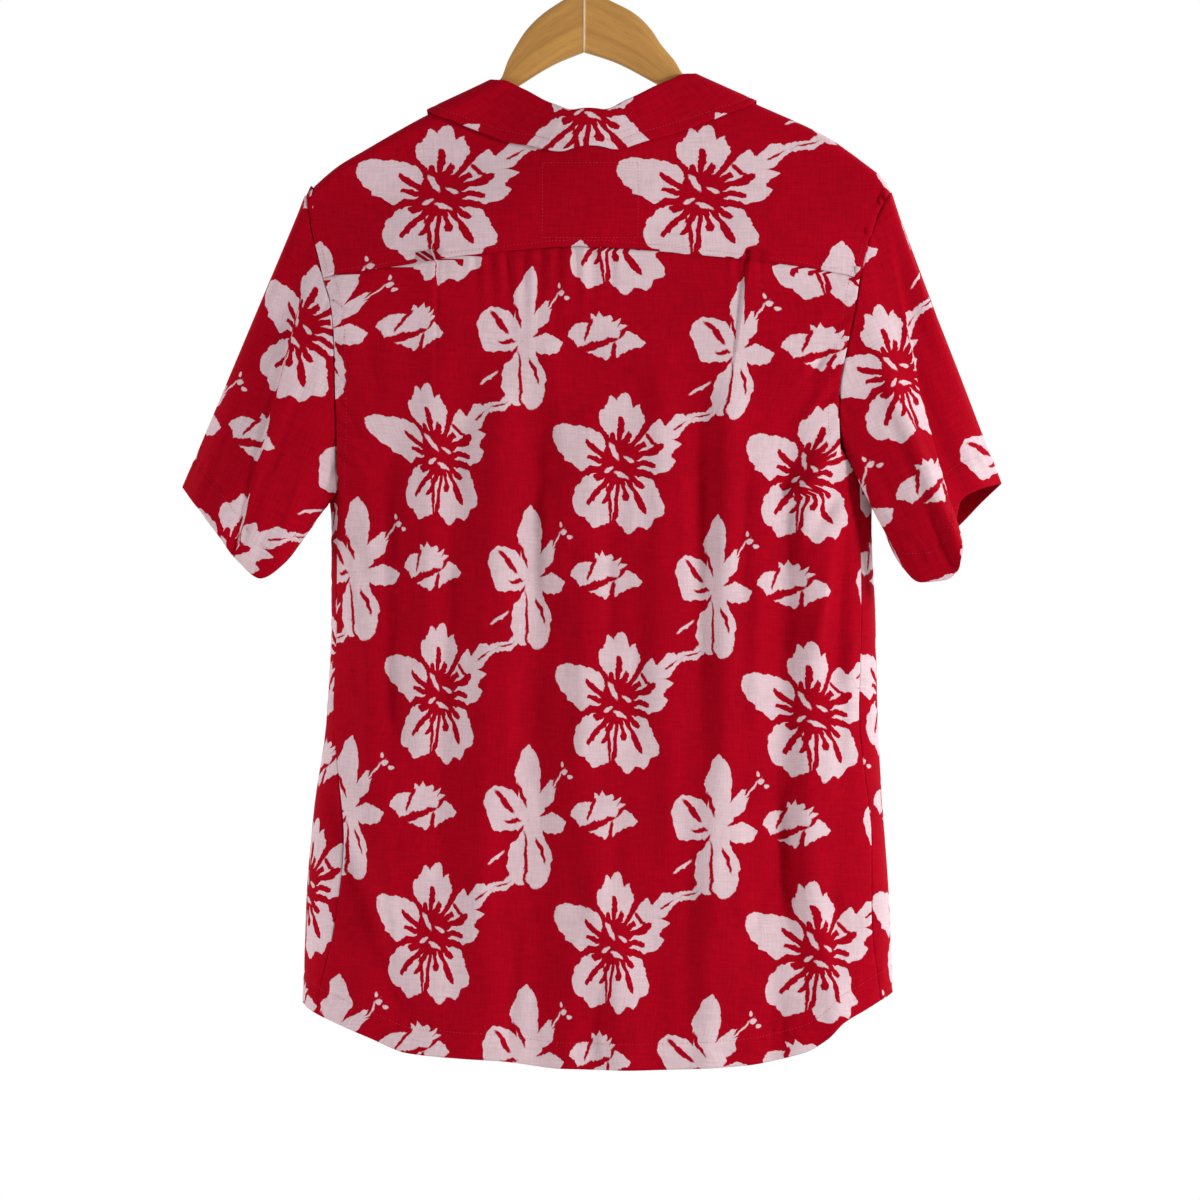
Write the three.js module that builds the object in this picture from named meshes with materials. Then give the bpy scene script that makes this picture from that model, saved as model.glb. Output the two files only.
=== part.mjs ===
// A short-sleeved hawaiian shirt hanging on a wooden hanger.
// Millimetres, +Z up. The origin is the inside top of the hook, where a rail carries it.
// The wearer's left is +X and the back of the shirt faces +Y.
import * as THREE from 'three';

// Driving dimensions of the cloth
const CLOTH = 1.2;
const SEAM_GAP = 0.3;
const SHOULDER_RADIUS = 9.5;
const SHOULDER_FALL = 140;
const SQUARENESS = 2.6;
const FRONT_YOKE_DROP = 35;
const FRONT_SEAM_EASE = 0.45;
const SLEEVE_SEAM_EASE = 0.25;
const UNDERARM_EASE = 2.1;
const UNDERARM_EASE_WIDTH = 0.18;
const BODY_GIRTH = 1400;
const SEAM_TURN = SEAM_GAP / 2 / BODY_GIRTH;

// Heights of the main lines of the cloth
const SHOULDER_LEVEL = -230;
const NECK_TOP = -172;
const YOKE_LEVEL = -280;
const YOKE_SEAM_SIDE = -293;
const SIDE_SEAM_END = -868;
const HEM_LEVEL = -900;

// Driving dimensions of the front opening
const CENTRE_FRONT = -8;
const LAP = 14;
const UNDERLAP_DEPTH = 1.7;
const UNDERLAP_RAMP = 22;
const BUTTON_TOP = -318;
const BUTTON_PITCH = 118;
const BUTTON_COUNT = 5;
const BUTTON_RADIUS = 5.7;
const BUTTON_THICKNESS = 2.6;
const BUTTON_SEAT = 0.55;

// Driving dimensions of the hanger
const WOOD_THICKNESS = 13;
const WOOD_BEVEL = 3;
const WOOD_CLEARANCE = 1.2;
const WOOD_TIP_DROP = 2;
const WOOD_TIP_ROUND = 3;
const HOOK_WIRE = 3.8;
const HOOK_INNER_RADIUS = 18;

// Top of the shoulders, from the wearer's right to the left; the middle rows lie over the neck opening
const RIDGE = [
  { x: -252, z: -242 }, { x: -246, z: -226 }, { x: -240, z: -214 }, { x: -226, z: -202 },
  { x: -193, z: -179 }, { x: -137, z: -153 }, { x: -88, z: -131 }, { x: -5, z: -92 },
  { x: 72, z: -135 }, { x: 134, z: -166.5 }, { x: 175, z: -190 }, { x: 196, z: -202.5 },
  { x: 210, z: -214 }, { x: 222, z: -226 }, { x: 232, z: -242 },
];

// Where the body turns from back to front, and how deep its back and front hang at each height
const SECTIONS = [
  { z: -200, left: 262, right: -282, back: 38, front: 34 },
  { z: -300, left: 254, right: -272, back: 42, front: 38 },
  { z: -380, left: 240, right: -260, back: 46, front: 44 },
  { z: -430, left: 220, right: -242, back: 49, front: 48 },
  { z: -458, left: 206, right: -231, back: 51, front: 50 },
  { z: -490, left: 202, right: -230, back: 52, front: 52 },
  { z: -560, left: 202, right: -233, back: 54, front: 54 },
  { z: -646, left: 206, right: -235, back: 56, front: 57 },
  { z: -718, left: 216, right: -239, back: 59, front: 60 },
  { z: -790, left: 222, right: -244, back: 62, front: 63 },
  { z: -925, left: 226, right: -248, back: 66, front: 66 },
];

// Edges of the back panel: the armholes above the underarm and the side seams below it
const BACK_EDGES = [
  { z: -224, left: 222.5, right: -245 }, { z: -240, left: 220.5, right: -236 },
  { z: -265, left: 215, right: -226 }, { z: -293, left: 208, right: -220 },
  { z: -312, left: 202, right: -217 }, { z: -342, left: 199, right: -211 },
  { z: -390, left: 198, right: -203 }, { z: -425, left: 197, right: -204 },
  { z: -443, left: 197, right: -213 }, { z: -456, left: 197, right: -220 },
  { z: -560, left: 197, right: -221 }, { z: -643, left: 200, right: -219 },
  { z: -692, left: 195, right: -224 }, { z: -740, left: 191, right: -229 },
  { z: -800, left: 197, right: -229 }, { z: -868, left: 212, right: -236 },
];
const UNDERARM = { left: -466, right: -456 };

// Armholes of the two fronts
const FRONT_ARMHOLES = [
  { z: -224, left: 222.5, right: -245 }, { z: -255, left: 214, right: -230 },
  { z: -300, left: 201, right: -215 }, { z: -350, left: 193, right: -206 },
  { z: -400, left: 191, right: -203 }, { z: -430, left: 192, right: -208 },
  { z: -446, left: 195, right: -217 }, { z: -462, left: 200, right: -223 },
];
const FRONT_UNDERARM = { left: -461, right: -451 };

// Bottom of each armhole, from the front round the side to the side seam: share of the way, and height
const ARMHOLE_BOTTOM = [
  { share: -0.68, left: -465.5, right: -455.5 }, { share: -0.34, left: -468.7, right: -458.7 },
  { share: 0, left: -470, right: -460 }, { share: 0.34, left: -469.6, right: -459.6 },
  { share: 0.68, left: -468.2, right: -458.2 },
];

// Inner edges of the two fronts: the neck, the roll line of the lapel and the straight button edge
const FRONT_EDGES = [
  { z: -165, left: 94.5, right: -101 }, { z: -172, left: 90, right: -97.5 },
  { z: -197, left: 66, right: -74 }, { z: -205, left: 56, right: -66 },
  { z: -246, left: 22, right: -36 },
  { z: -298, left: CENTRE_FRONT - LAP + 2, right: CENTRE_FRONT + LAP - 2 },
  { z: -320, left: CENTRE_FRONT - LAP, right: CENTRE_FRONT + LAP },
  { z: -920, left: CENTRE_FRONT - LAP, right: CENTRE_FRONT + LAP },
];

// Seam between yoke and back, and the two hems, across the body
const YOKE_SEAM = [
  { x: -222, z: -294 }, { x: -173, z: -285 }, { x: -133, z: -280 }, { x: -93, z: -276 },
  { x: -45, z: -272 }, { x: 11, z: -270 }, { x: 62, z: -273 }, { x: 103, z: -277 },
  { x: 139, z: -283 }, { x: 191, z: -290 }, { x: 210, z: -294 },
];
const BACK_HEM = [
  { x: -248, z: -862 }, { x: -224, z: -876 }, { x: -206, z: -886 }, { x: -194, z: -898 },
  { x: -175, z: -909 }, { x: -125, z: -919 }, { x: -45, z: -922 }, { x: 19, z: -921 },
  { x: 67, z: -915 }, { x: 115, z: -912 }, { x: 141, z: -909 }, { x: 169, z: -898 },
  { x: 198, z: -886 }, { x: 219, z: -876 }, { x: 227, z: -868 },
];
const FRONT_HEM = [
  { x: -248, z: -862 }, { x: -206, z: -880 }, { x: -150, z: -896 }, { x: -60, z: -908 },
  { x: 40, z: -908 }, { x: 130, z: -898 }, { x: 190, z: -882 }, { x: 227, z: -868 },
];

// Long soft folds, each from its top to its low end; a negative height is a trough
const BACK_FOLDS = [
  { topX: 190, topZ: -400, lowX: 150, lowZ: -880, width: 15, height: 5 },
  { topX: 116, topZ: -330, lowX: 134, lowZ: -700, width: 13, height: 3.5 },
  { topX: 64, topZ: -340, lowX: 86, lowZ: -960, width: 16, height: 5.5 },
  { topX: -6, topZ: -380, lowX: 4, lowZ: -760, width: 17, height: 4.5 },
  { topX: 2, topZ: -690, lowX: -42, lowZ: -980, width: 19, height: 7 },
  { topX: -61, topZ: -330, lowX: -61, lowZ: -700, width: 14, height: 4 },
  { topX: -116, topZ: -340, lowX: -100, lowZ: -980, width: 15, height: 5.5 },
  { topX: -188, topZ: -380, lowX: -178, lowZ: -800, width: 14, height: 4.5 },
  { topX: -174, topZ: -730, lowX: -214, lowZ: -960, width: 14, height: 5 },
  { topX: 150, topZ: -390, lowX: 150, lowZ: -720, width: 14, height: -4 },
  { topX: 93, topZ: -380, lowX: 118, lowZ: -800, width: 12, height: -3.5 },
  { topX: 35, topZ: -370, lowX: 40, lowZ: -980, width: 15, height: -5 },
  { topX: -93, topZ: -370, lowX: -98, lowZ: -720, width: 12, height: -4 },
  { topX: -164, topZ: -390, lowX: -150, lowZ: -980, width: 14, height: -5 },
];
const FRONT_FOLDS = [
  { topX: 176, topZ: -380, lowX: 160, lowZ: -960, width: 16, height: 5 },
  { topX: 96, topZ: -340, lowX: 108, lowZ: -980, width: 15, height: 5.5 },
  { topX: 44, topZ: -420, lowX: 54, lowZ: -960, width: 14, height: 3.5 },
  { topX: -66, topZ: -400, lowX: -76, lowZ: -980, width: 14, height: 4 },
  { topX: -122, topZ: -340, lowX: -132, lowZ: -960, width: 15, height: 5.5 },
  { topX: -190, topZ: -380, lowX: -182, lowZ: -900, width: 15, height: 4.5 },
  { topX: 136, topZ: -400, lowX: 134, lowZ: -980, width: 14, height: -5 },
  { topX: 72, topZ: -400, lowX: 80, lowZ: -900, width: 12, height: -3.5 },
  { topX: -96, topZ: -400, lowX: -104, lowZ: -980, width: 13, height: -4.5 },
  { topX: -158, topZ: -400, lowX: -158, lowZ: -960, width: 14, height: -4.5 },
];
const FOLD_RISE = 70;

// Knife pleats that open from the yoke seam; over is the side whose cloth lies on top
const PLEATS = [
  { topX: 118, lowX: 119, over: 1 },
  { topX: -131, lowX: -109, over: -1 },
];
const PLEAT_LENGTH = 130;
const PLEAT_HEIGHT = 2.2;
const PLEAT_SPREAD = 16;
const PLEAT_EDGE = 1.6;

// Gathers at the middle of the back, which fade out below the yoke seam
const GATHER_LEFT = 92;
const GATHER_RIGHT = -30;
const GATHER_WAVES = 13;
const GATHER_HEIGHT = 0.8;
const GATHER_LENGTH = 78;

// Stations round the neck, from the left front point over the left shoulder, the back and the right shoulder.
// The neck seam, the fold and the outer edge each have a place across and a height; side is 1 on the back.
const COLLAR = [
  { neckX: 63, neckZ: -197, foldX: 62, foldZ: -190, edgeX: 112, edgeZ: -236, side: -1, lift: 0 },
  { neckX: 86, neckZ: -174, foldX: 69, foldZ: -158, edgeX: 124, edgeZ: -200, side: -1, lift: 0.4 },
  { neckX: 97, neckZ: -147, foldX: 72.5, foldZ: -134, edgeX: 124, edgeZ: -161, side: 1, lift: 2.2 },
  { neckX: 80, neckZ: -156, foldX: 60, foldZ: -136, edgeX: 104, edgeZ: -168, side: 1, lift: 1.2 },
  { neckX: 61, neckZ: -166, foldX: 46, foldZ: -143, edgeX: 80, edgeZ: -178, side: 1, lift: 0.4 },
  { neckX: 34, neckZ: -179, foldX: 25, foldZ: -154, edgeX: 46, edgeZ: -188, side: 1, lift: 0.2 },
  { neckX: 8, neckZ: -185, foldX: 6, foldZ: -159, edgeX: 12, edgeZ: -192, side: 1, lift: 0.2 },
  { neckX: -16, neckZ: -185, foldX: -14, foldZ: -159, edgeX: -20, edgeZ: -191, side: 1, lift: 0.2 },
  { neckX: -44, neckZ: -176, foldX: -36, foldZ: -150, edgeX: -53, edgeZ: -184, side: 1, lift: 0.2 },
  { neckX: -68, neckZ: -164, foldX: -58, foldZ: -139, edgeX: -82, edgeZ: -175, side: 1, lift: 0.3 },
  { neckX: -90, neckZ: -152, foldX: -76, foldZ: -131, edgeX: -112, edgeZ: -163, side: 1, lift: 0.5 },
  { neckX: -108, neckZ: -140, foldX: -87, foldZ: -130, edgeX: -137, edgeZ: -153, side: 1, lift: 0.8 },
  { neckX: -96, neckZ: -170, foldX: -80, foldZ: -154, edgeX: -138, edgeZ: -194, side: -1, lift: 0.3 },
  { neckX: -75, neckZ: -193, foldX: -74, foldZ: -186, edgeX: -128, edgeZ: -230, side: -1, lift: 0 },
];
const FOLD_ROLL = 2;
const FALL_HEIGHT = 1.9;

// Lapels: the roll line from its top to the break, and the outer tip, on the front
const LAPELS = [
  { name: 'lapel_left', topX: 58, topZ: -200, lowX: -12, lowZ: -291, tipX: 98, tipZ: -247 },
  { name: 'lapel_right', topX: -70, topZ: -196, lowX: -18, lowZ: -269, tipX: -112, tipZ: -241 },
];
const LAPEL_STEPS = 7;
const LAPEL_COLUMNS = 4;
const LAPEL_HEIGHT = 1.7;
const LAPEL_ROLL = 0.8;
const LAPEL_TAPER = 0.9;

// Cuffs of the sleeves: a loop from the outer corner round the back to the underarm and back by the front
const LEFT_CUFF = [
  { turn: 0, x: 321, y: 0, z: -460 }, { turn: 0.07, x: 310, y: 24, z: -474 },
  { turn: 0.15, x: 292, y: 39, z: -497 }, { turn: 0.23, x: 274, y: 45, z: -520 },
  { turn: 0.3, x: 257, y: 43, z: -533 }, { turn: 0.38, x: 240, y: 32, z: -522 },
  { turn: 0.45, x: 229, y: 16, z: -508 }, { turn: 0.5, x: 225, y: 0, z: -500 },
  { turn: 0.56, x: 231, y: -15, z: -504 }, { turn: 0.64, x: 245, y: -31, z: -514 },
  { turn: 0.73, x: 262, y: -42, z: -520 }, { turn: 0.82, x: 282, y: -43, z: -508 },
  { turn: 0.91, x: 304, y: -27, z: -482 }, { turn: 1, x: 321, y: 0, z: -460 },
];
const RIGHT_CUFF = [
  { turn: 0, x: -334, y: -4, z: -457 }, { turn: 0.06, x: -318, y: 15, z: -461 },
  { turn: 0.11, x: -302, y: 29, z: -471 }, { turn: 0.16, x: -300, y: 41, z: -496 },
  { turn: 0.22, x: -299, y: 48, z: -520 }, { turn: 0.28, x: -288, y: 50, z: -534 },
  { turn: 0.34, x: -268, y: 45, z: -536 }, { turn: 0.41, x: -254, y: 32, z: -524 },
  { turn: 0.46, x: -247, y: 16, z: -512 }, { turn: 0.5, x: -244, y: 0, z: -504 },
  { turn: 0.57, x: -249, y: -18, z: -506 }, { turn: 0.66, x: -260, y: -34, z: -511 },
  { turn: 0.75, x: -278, y: -42, z: -508 }, { turn: 0.84, x: -300, y: -38, z: -492 },
  { turn: 0.92, x: -319, y: -23, z: -472 }, { turn: 1, x: -334, y: -4, z: -457 },
];
const SLEEVE_FOLDS = [
  { side: 'left', turn: 0.16, width: 0.045, height: 3.5 },
  { side: 'left', turn: 0.34, width: 0.05, height: 3 },
  { side: 'left', turn: 0.7, width: 0.06, height: 4 },
  { side: 'right', turn: 0.2, width: 0.04, height: 5 },
  { side: 'right', turn: 0.11, width: 0.03, height: -3 },
  { side: 'right', turn: 0.72, width: 0.06, height: 4 },
];
const SLEEVE_STEPS = 8;

// How many steps each stretch of the panels has
const ARMHOLE_STEPS = 8;
const SIDE_STEPS = 15;
const YOKE_SEAM_STEPS = 20;
const COLLAR_END_STEPS = 3;
const FRONT_SIDE_SHARE = 0.45;
const SHOULDER_RUNS = [0, 5, 10, 15.5];
const LOWER_SHOULDER_RUN = 42;
const LOWER_NECK_RUN = 27;
const CORNER_NECK_RUN = 42;
const YOKE_COLUMNS = 7;
const BACK_COLUMNS = 38;
const FRONT_COLUMNS = 14;

// Outline of the wood beside the neck, from the top of each half down to where the arm starts
const WOOD_LEFT_NECK = [
  { x: 0, z: -62 }, { x: 8, z: -65 }, { x: 18, z: -71 }, { x: 34, z: -82 }, { x: 46, z: -94 },
  { x: 54, z: -106 }, { x: 61, z: -119 }, { x: 66.5, z: -133 }, { x: 68.5, z: -137.5 },
];
const WOOD_RIGHT_NECK = [
  { x: 0, z: -62 }, { x: -9, z: -65 }, { x: -22, z: -71 }, { x: -42, z: -82 }, { x: -54, z: -94 },
  { x: -62, z: -106 }, { x: -72, z: -118 }, { x: -82, z: -132 },
];
const WOOD_LEFT_LOWER = [
  { x: 0, z: -112 }, { x: 22, z: -121 }, { x: 52, z: -139 }, { x: 100, z: -172 },
  { x: 150, z: -200 }, { x: 199, z: -227 },
];
const WOOD_RIGHT_LOWER = [
  { x: 0, z: -112 }, { x: -22, z: -119 }, { x: -61, z: -139 }, { x: -100, z: -160 },
  { x: -150, z: -183 }, { x: -200, z: -207 }, { x: -219, z: -217 },
];
const WOOD_ARM_STEPS = 7;
const WOOD_ENDS = [
  { side: 'left', armX: 74, endX: 196 },
  { side: 'right', armX: -92, endX: -216 },
];

// Colours
const RED_CLOTH = 0x9c041a;
const BUTTON_COLOUR = 0xe8dfd0;
const WOOD_COLOUR = 0xbc9158;
const STEEL_COLOUR = 0xc8c8ca;

// Smooth curve through the rows of a table, from one named column to another, with no overshoot
function curveOf(rows, from, to) {
  const sorted = [...rows].sort((a, b) => a[from] - b[from]);
  const xs = sorted.map((row) => row[from]);
  const ys = sorted.map((row) => row[to]);
  const slopes = xs.slice(1).map((x, i) => (ys[i + 1] - ys[i]) / (x - xs[i]));
  const tangents = xs.map((_, i) => {
    if (i === 0) return slopes[0];
    if (i === xs.length - 1) return slopes[i - 1];
    const product = slopes[i - 1] * slopes[i];
    return product <= 0 ? 0 : (2 * product) / (slopes[i - 1] + slopes[i]);
  });
  return (x) => {
    const inside = Math.min(Math.max(x, xs[0]), xs[xs.length - 1]);
    let i = 0;
    while (i < xs.length - 2 && inside > xs[i + 1]) i += 1;
    const width = xs[i + 1] - xs[i];
    const t = (inside - xs[i]) / width;
    const a = ys[i] * (1 + 2 * t) * (1 - t) ** 2 + tangents[i] * width * t * (1 - t) ** 2;
    const b = ys[i + 1] * t * t * (3 - 2 * t) + tangents[i + 1] * width * t * t * (t - 1);
    return a + b;
  };
}

const smooth = (t) => {
  const c = Math.min(Math.max(t, 0), 1);
  return c * c * (3 - 2 * c);
};
const mix = (a, b, t) => a + (b - a) * t;
const steps = (count) => Array.from({ length: count + 1 }, (_, i) => i / count);
const SEARCH_STEPS = 40;
const HEIGHT_TRIES = 6;

const ridge = curveOf(RIDGE, 'x', 'z');
const outlineLeft = curveOf(SECTIONS, 'z', 'left');
const outlineRight = curveOf(SECTIONS, 'z', 'right');
const backDepth = curveOf(SECTIONS, 'z', 'back');
const frontDepth = curveOf(SECTIONS, 'z', 'front');
const yokeSeam = curveOf(YOKE_SEAM, 'x', 'z');
const backHem = curveOf(BACK_HEM, 'x', 'z');
const frontHem = curveOf(FRONT_HEM, 'x', 'z');

// Height of the long folds at one place; each rises below its top and fades above its low end
function foldHeight(folds, x, z) {
  let height = 0;
  for (const fold of folds) {
    const t = (fold.topZ - z) / (fold.topZ - fold.lowZ);
    const centre = mix(fold.topX, fold.lowX, t);
    const strength = smooth((fold.topZ - z) / FOLD_RISE) * smooth((z - fold.lowZ) / FOLD_RISE);
    height += fold.height * strength * Math.exp(-(((x - centre) / fold.width) ** 2));
  }
  return height;
}

// Step of the knife pleats: the cloth on one side of each pleat's edge stands proud of the other
function pleatHeight(x, z) {
  let height = 0;
  for (const pleat of PLEATS) {
    const below = (yokeSeam(x) - z) / PLEAT_LENGTH;
    const past = (x - mix(pleat.topX, pleat.lowX, below)) * pleat.over;
    const fall = Math.exp(-((Math.max(past, 0) / PLEAT_SPREAD) ** 2));
    height += PLEAT_HEIGHT * (1 - smooth(below)) * smooth(past / PLEAT_EDGE + 0.5) * fall;
  }
  return height;
}

// Depth of the hanging body at one place: a hairpin over the hanger that opens into a rounded section
function bodyDepth(x, z, side) {
  const middle = (outlineLeft(z) + outlineRight(z)) / 2;
  const half = (outlineLeft(z) - outlineRight(z)) / 2;
  const reach = Math.min(Math.abs(x - middle) / half, 1);
  const full = side > 0 ? backDepth(z) : frontDepth(z);
  const open = full * (1 - reach ** SQUARENESS) ** (1 / SQUARENESS);
  const drop = Math.max(ridge(x) - z, 0);
  const hairpin = SHOULDER_RADIUS * Math.sqrt(1 - (1 - Math.min(drop / SHOULDER_RADIUS, 1)) ** 2);
  const settled = smooth(drop / SHOULDER_FALL);
  const folds = foldHeight(side > 0 ? BACK_FOLDS : FRONT_FOLDS, x, z) * Math.min(open / full * 1.4, 1);
  return mix(hairpin, open, settled) + folds * settled;
}

// A run is a distance down from the shoulder line, more than 0 on the back and less than 0 on the front
function dropOf(run) {
  const length = Math.abs(run);
  const quarter = (SHOULDER_RADIUS * Math.PI) / 2;
  if (length < quarter) return SHOULDER_RADIUS * (1 - Math.cos(length / SHOULDER_RADIUS));
  return SHOULDER_RADIUS + length - quarter;
}
function runOf(x, z, side) {
  const drop = Math.max(ridge(x) - z, 0);
  if (drop < SHOULDER_RADIUS) return side * SHOULDER_RADIUS * Math.acos(1 - drop / SHOULDER_RADIUS);
  return side * (drop - SHOULDER_RADIUS + (SHOULDER_RADIUS * Math.PI) / 2);
}

// A place on the shoulders, by its distance across and its run
function shoulderPlace(x, run) {
  const z = ridge(x) - dropOf(run);
  const side = Math.sign(run) || 1;
  return new THREE.Vector3(x, side * bodyDepth(x, z, side), z);
}

// A place on the body, by its turn round it: 0 at the left side, a quarter at the middle of the back
function bodyPlace(turn, z) {
  const angle = turn * Math.PI * 2;
  const middle = (outlineLeft(z) + outlineRight(z)) / 2;
  const half = (outlineLeft(z) - outlineRight(z)) / 2;
  const x = middle + half * Math.cos(angle);
  const side = Math.sin(angle) >= 0 ? 1 : -1;
  const level = Math.abs(Math.sin(angle)) < 1e-9 ? 0 : bodyDepth(x, z, side);
  return new THREE.Vector3(x, side * level, z);
}

// The turn at which the body reaches a distance across, at one height and side
function turnOf(x, z, side) {
  const middle = (outlineLeft(z) + outlineRight(z)) / 2;
  const half = (outlineLeft(z) - outlineRight(z)) / 2;
  const reach = Math.min(Math.max((x - middle) / half, -1), 1);
  return (side * Math.acos(reach)) / (Math.PI * 2);
}

// Small distances over which the slope of a surface is taken, in millimetres and as shares of a panel
const NEARBY = 0.3;
const NEARBY_ACROSS = 0.002;
const NEARBY_GATHER = 0.0005;
const NEARBY_DOWN = 0.01;

// A point of a surface and the point under it through the cloth; facing is 1 or -1 and turns it outward
function wallPoint(place, a, b, reachA, reachB, facing, lift = 0) {
  const alongA = place(a + reachA, b).sub(place(a - reachA, b));
  const alongB = place(a, b + reachB).sub(place(a, b - reachB));
  const outward = alongA.cross(alongB).normalize().multiplyScalar(facing);
  const base = place(a, b);
  return {
    outer: base.clone().addScaledVector(outward, lift),
    inner: base.clone().addScaledVector(outward, lift - CLOTH),
  };
}

// Closed wall from rows of points, each with its own columns; a closed row runs round a tube
function wallGeometry(rows, closed) {
  const positions = [];
  const triangles = [];
  const columns = rows.map((row) => row.map((point) => point.column));
  const ids = rows.map((row) => row.map((point) => {
    positions.push(...point.outer.toArray(), ...point.inner.toArray());
    return positions.length / 3 - 2;
  }));
  if (closed) {
    ids.forEach((row) => row.push(row[0]));
    columns.forEach((row) => row.push(1));
  }
  const both = (a, b, c) => triangles.push(a, b, c, a + 1, c + 1, b + 1);
  const rim = (a, b) => triangles.push(a, b, a + 1, b, b + 1, a + 1);
  for (let r = 0; r + 1 < ids.length; r += 1) {
    let i = 0;
    let j = 0;
    while (i + 1 < ids[r].length || j + 1 < ids[r + 1].length) {
      const nextUpper = i + 1 < ids[r].length ? columns[r][i + 1] : Infinity;
      const nextLower = j + 1 < ids[r + 1].length ? columns[r + 1][j + 1] : Infinity;
      if (nextUpper <= nextLower) {
        both(ids[r][i], ids[r + 1][j], ids[r][i + 1]);
        i += 1;
      } else {
        both(ids[r][i], ids[r + 1][j], ids[r + 1][j + 1]);
        j += 1;
      }
    }
  }
  const first = ids[0];
  const last = ids[ids.length - 1];
  for (let i = 0; i + 1 < first.length; i += 1) rim(first[i], first[i + 1]);
  for (let i = 0; i + 1 < last.length; i += 1) rim(last[i + 1], last[i]);
  if (!closed) {
    for (let r = 0; r + 1 < ids.length; r += 1) {
      rim(ids[r + 1][0], ids[r][0]);
      rim(ids[r][ids[r].length - 1], ids[r + 1][ids[r + 1].length - 1]);
    }
  }
  return facedOutward(positions, triangles);
}

// Geometry whose faces point out: every triangle is turned over where the volume comes out negative
function facedOutward(positions, triangles) {
  const corner = (id) => new THREE.Vector3().fromArray(positions, id * 3);
  let volume = 0;
  for (let t = 0; t < triangles.length; t += 3) {
    const [a, b, c] = [corner(triangles[t]), corner(triangles[t + 1]), corner(triangles[t + 2])];
    volume += a.dot(b.cross(c));
  }
  const order = volume > 0 ? triangles : [...triangles].reverse();
  const geometry = new THREE.BufferGeometry();
  geometry.setAttribute('position', new THREE.Float32BufferAttribute(positions, 3));
  geometry.setIndex(order);
  geometry.computeVertexNormals();
  return geometry;
}

// Height at which a line across the body, given by its place across, meets one turn
function heightOn(line, turn, start) {
  let z = start;
  for (let i = 0; i < HEIGHT_TRIES; i += 1) z = line(bodyPlace(turn, z).x);
  return z;
}

// The nodes of one armhole, from its top down the back, from its top down the front, and round its bottom
function armhole(hand) {
  const backEdge = curveOf(BACK_EDGES, 'z', hand);
  const frontEdge = curveOf(FRONT_ARMHOLES, 'z', hand);
  const seamZ = heightOn(yokeSeam, turnOf(backEdge(YOKE_SEAM_SIDE), YOKE_SEAM_SIDE, 1), YOKE_SEAM_SIDE);
  const node = (edge, z, side) => ({ x: edge(z), z, side });
  const atDrop = (edge, drop, side) => {
    let z = SHOULDER_LEVEL;
    for (let i = 0; i < SEARCH_STEPS; i += 1) z = mix(z, ridge(edge(z)) - drop, 0.4);
    return node(edge, z, side);
  };
  const atRun = (edge, run, side) => atDrop(edge, dropOf(run), side);
  const even = (count, top, low) => steps(count).map((t) => mix(top, low, t));
  const frontSeam = atDrop(frontEdge, FRONT_YOKE_DROP, -1);
  const back = even(ARMHOLE_STEPS, seamZ, UNDERARM[hand]).map((z) => node(backEdge, z, 1));
  const front = even(ARMHOLE_STEPS, frontSeam.z, FRONT_UNDERARM[hand]).map((z) => node(frontEdge, z, -1));
  const ends = { back: back[ARMHOLE_STEPS], front: front[ARMHOLE_STEPS] };
  const sideTurn = hand === 'left' ? 0 : 0.5;
  const bottom = ARMHOLE_BOTTOM.map((row) => {
    const end = row.share < 0 ? ends.front : ends.back;
    const away = turnOf(end.x, end.z, 1) - sideTurn;
    return { turn: sideTurn + away * row.share, z: row[hand] };
  });
  const yokeBack = [...SHOULDER_RUNS, LOWER_SHOULDER_RUN].map((run) => atRun(backEdge, run, 1));
  const yokeFront = SHOULDER_RUNS.map((run) => atRun(frontEdge, run, -1));
  return { yokeBack: [...yokeBack, back[0]], yokeFront: [...yokeFront, frontSeam], back, front, bottom };
}
const LEFT_ARMHOLE = armhole('left');
const RIGHT_ARMHOLE = armhole('right');

// Turn counted so that it grows from the left side over the back to the right side and on to the front
const turnAt = (node) => {
  const turn = turnOf(node.x, node.z, node.side);
  return node.x < CENTRE_FRONT && node.side < 0 ? 1 + turn : turn;
};

// Columns of the back panel: even ones, close ones over the gathers and at the pleats
function backColumns(place, gathered, pleated) {
  const atX = (x) => {
    let low = 0;
    let high = 1;
    for (let i = 0; i < SEARCH_STEPS; i += 1) {
      const middle = (low + high) / 2;
      if (place(middle).x > x) low = middle;
      else high = middle;
    }
    return low;
  };
  const from = atX(GATHER_LEFT);
  const to = atX(GATHER_RIGHT);
  const close = steps(GATHER_WAVES * 4).map((t) => mix(from, to, t));
  const edges = PLEATS.flatMap((pleat) => {
    const x = pleat.topX;
    return [atX(x + PLEAT_EDGE / 2), atX(x - PLEAT_EDGE / 2)];
  });
  const margin = 0.5 / BACK_COLUMNS;
  const even = steps(BACK_COLUMNS).filter((u) => {
    const nearGather = gathered && u > from - margin / 2 && u < to + margin / 2;
    const nearPleat = pleated && edges.some((edge) => Math.abs(edge - u) < margin / 2);
    return !nearGather && !nearPleat;
  });
  const all = [...even, ...(gathered ? close : []), ...(pleated ? edges : [])];
  return { list: all.sort((a, b) => a - b), from, to };
}

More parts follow.
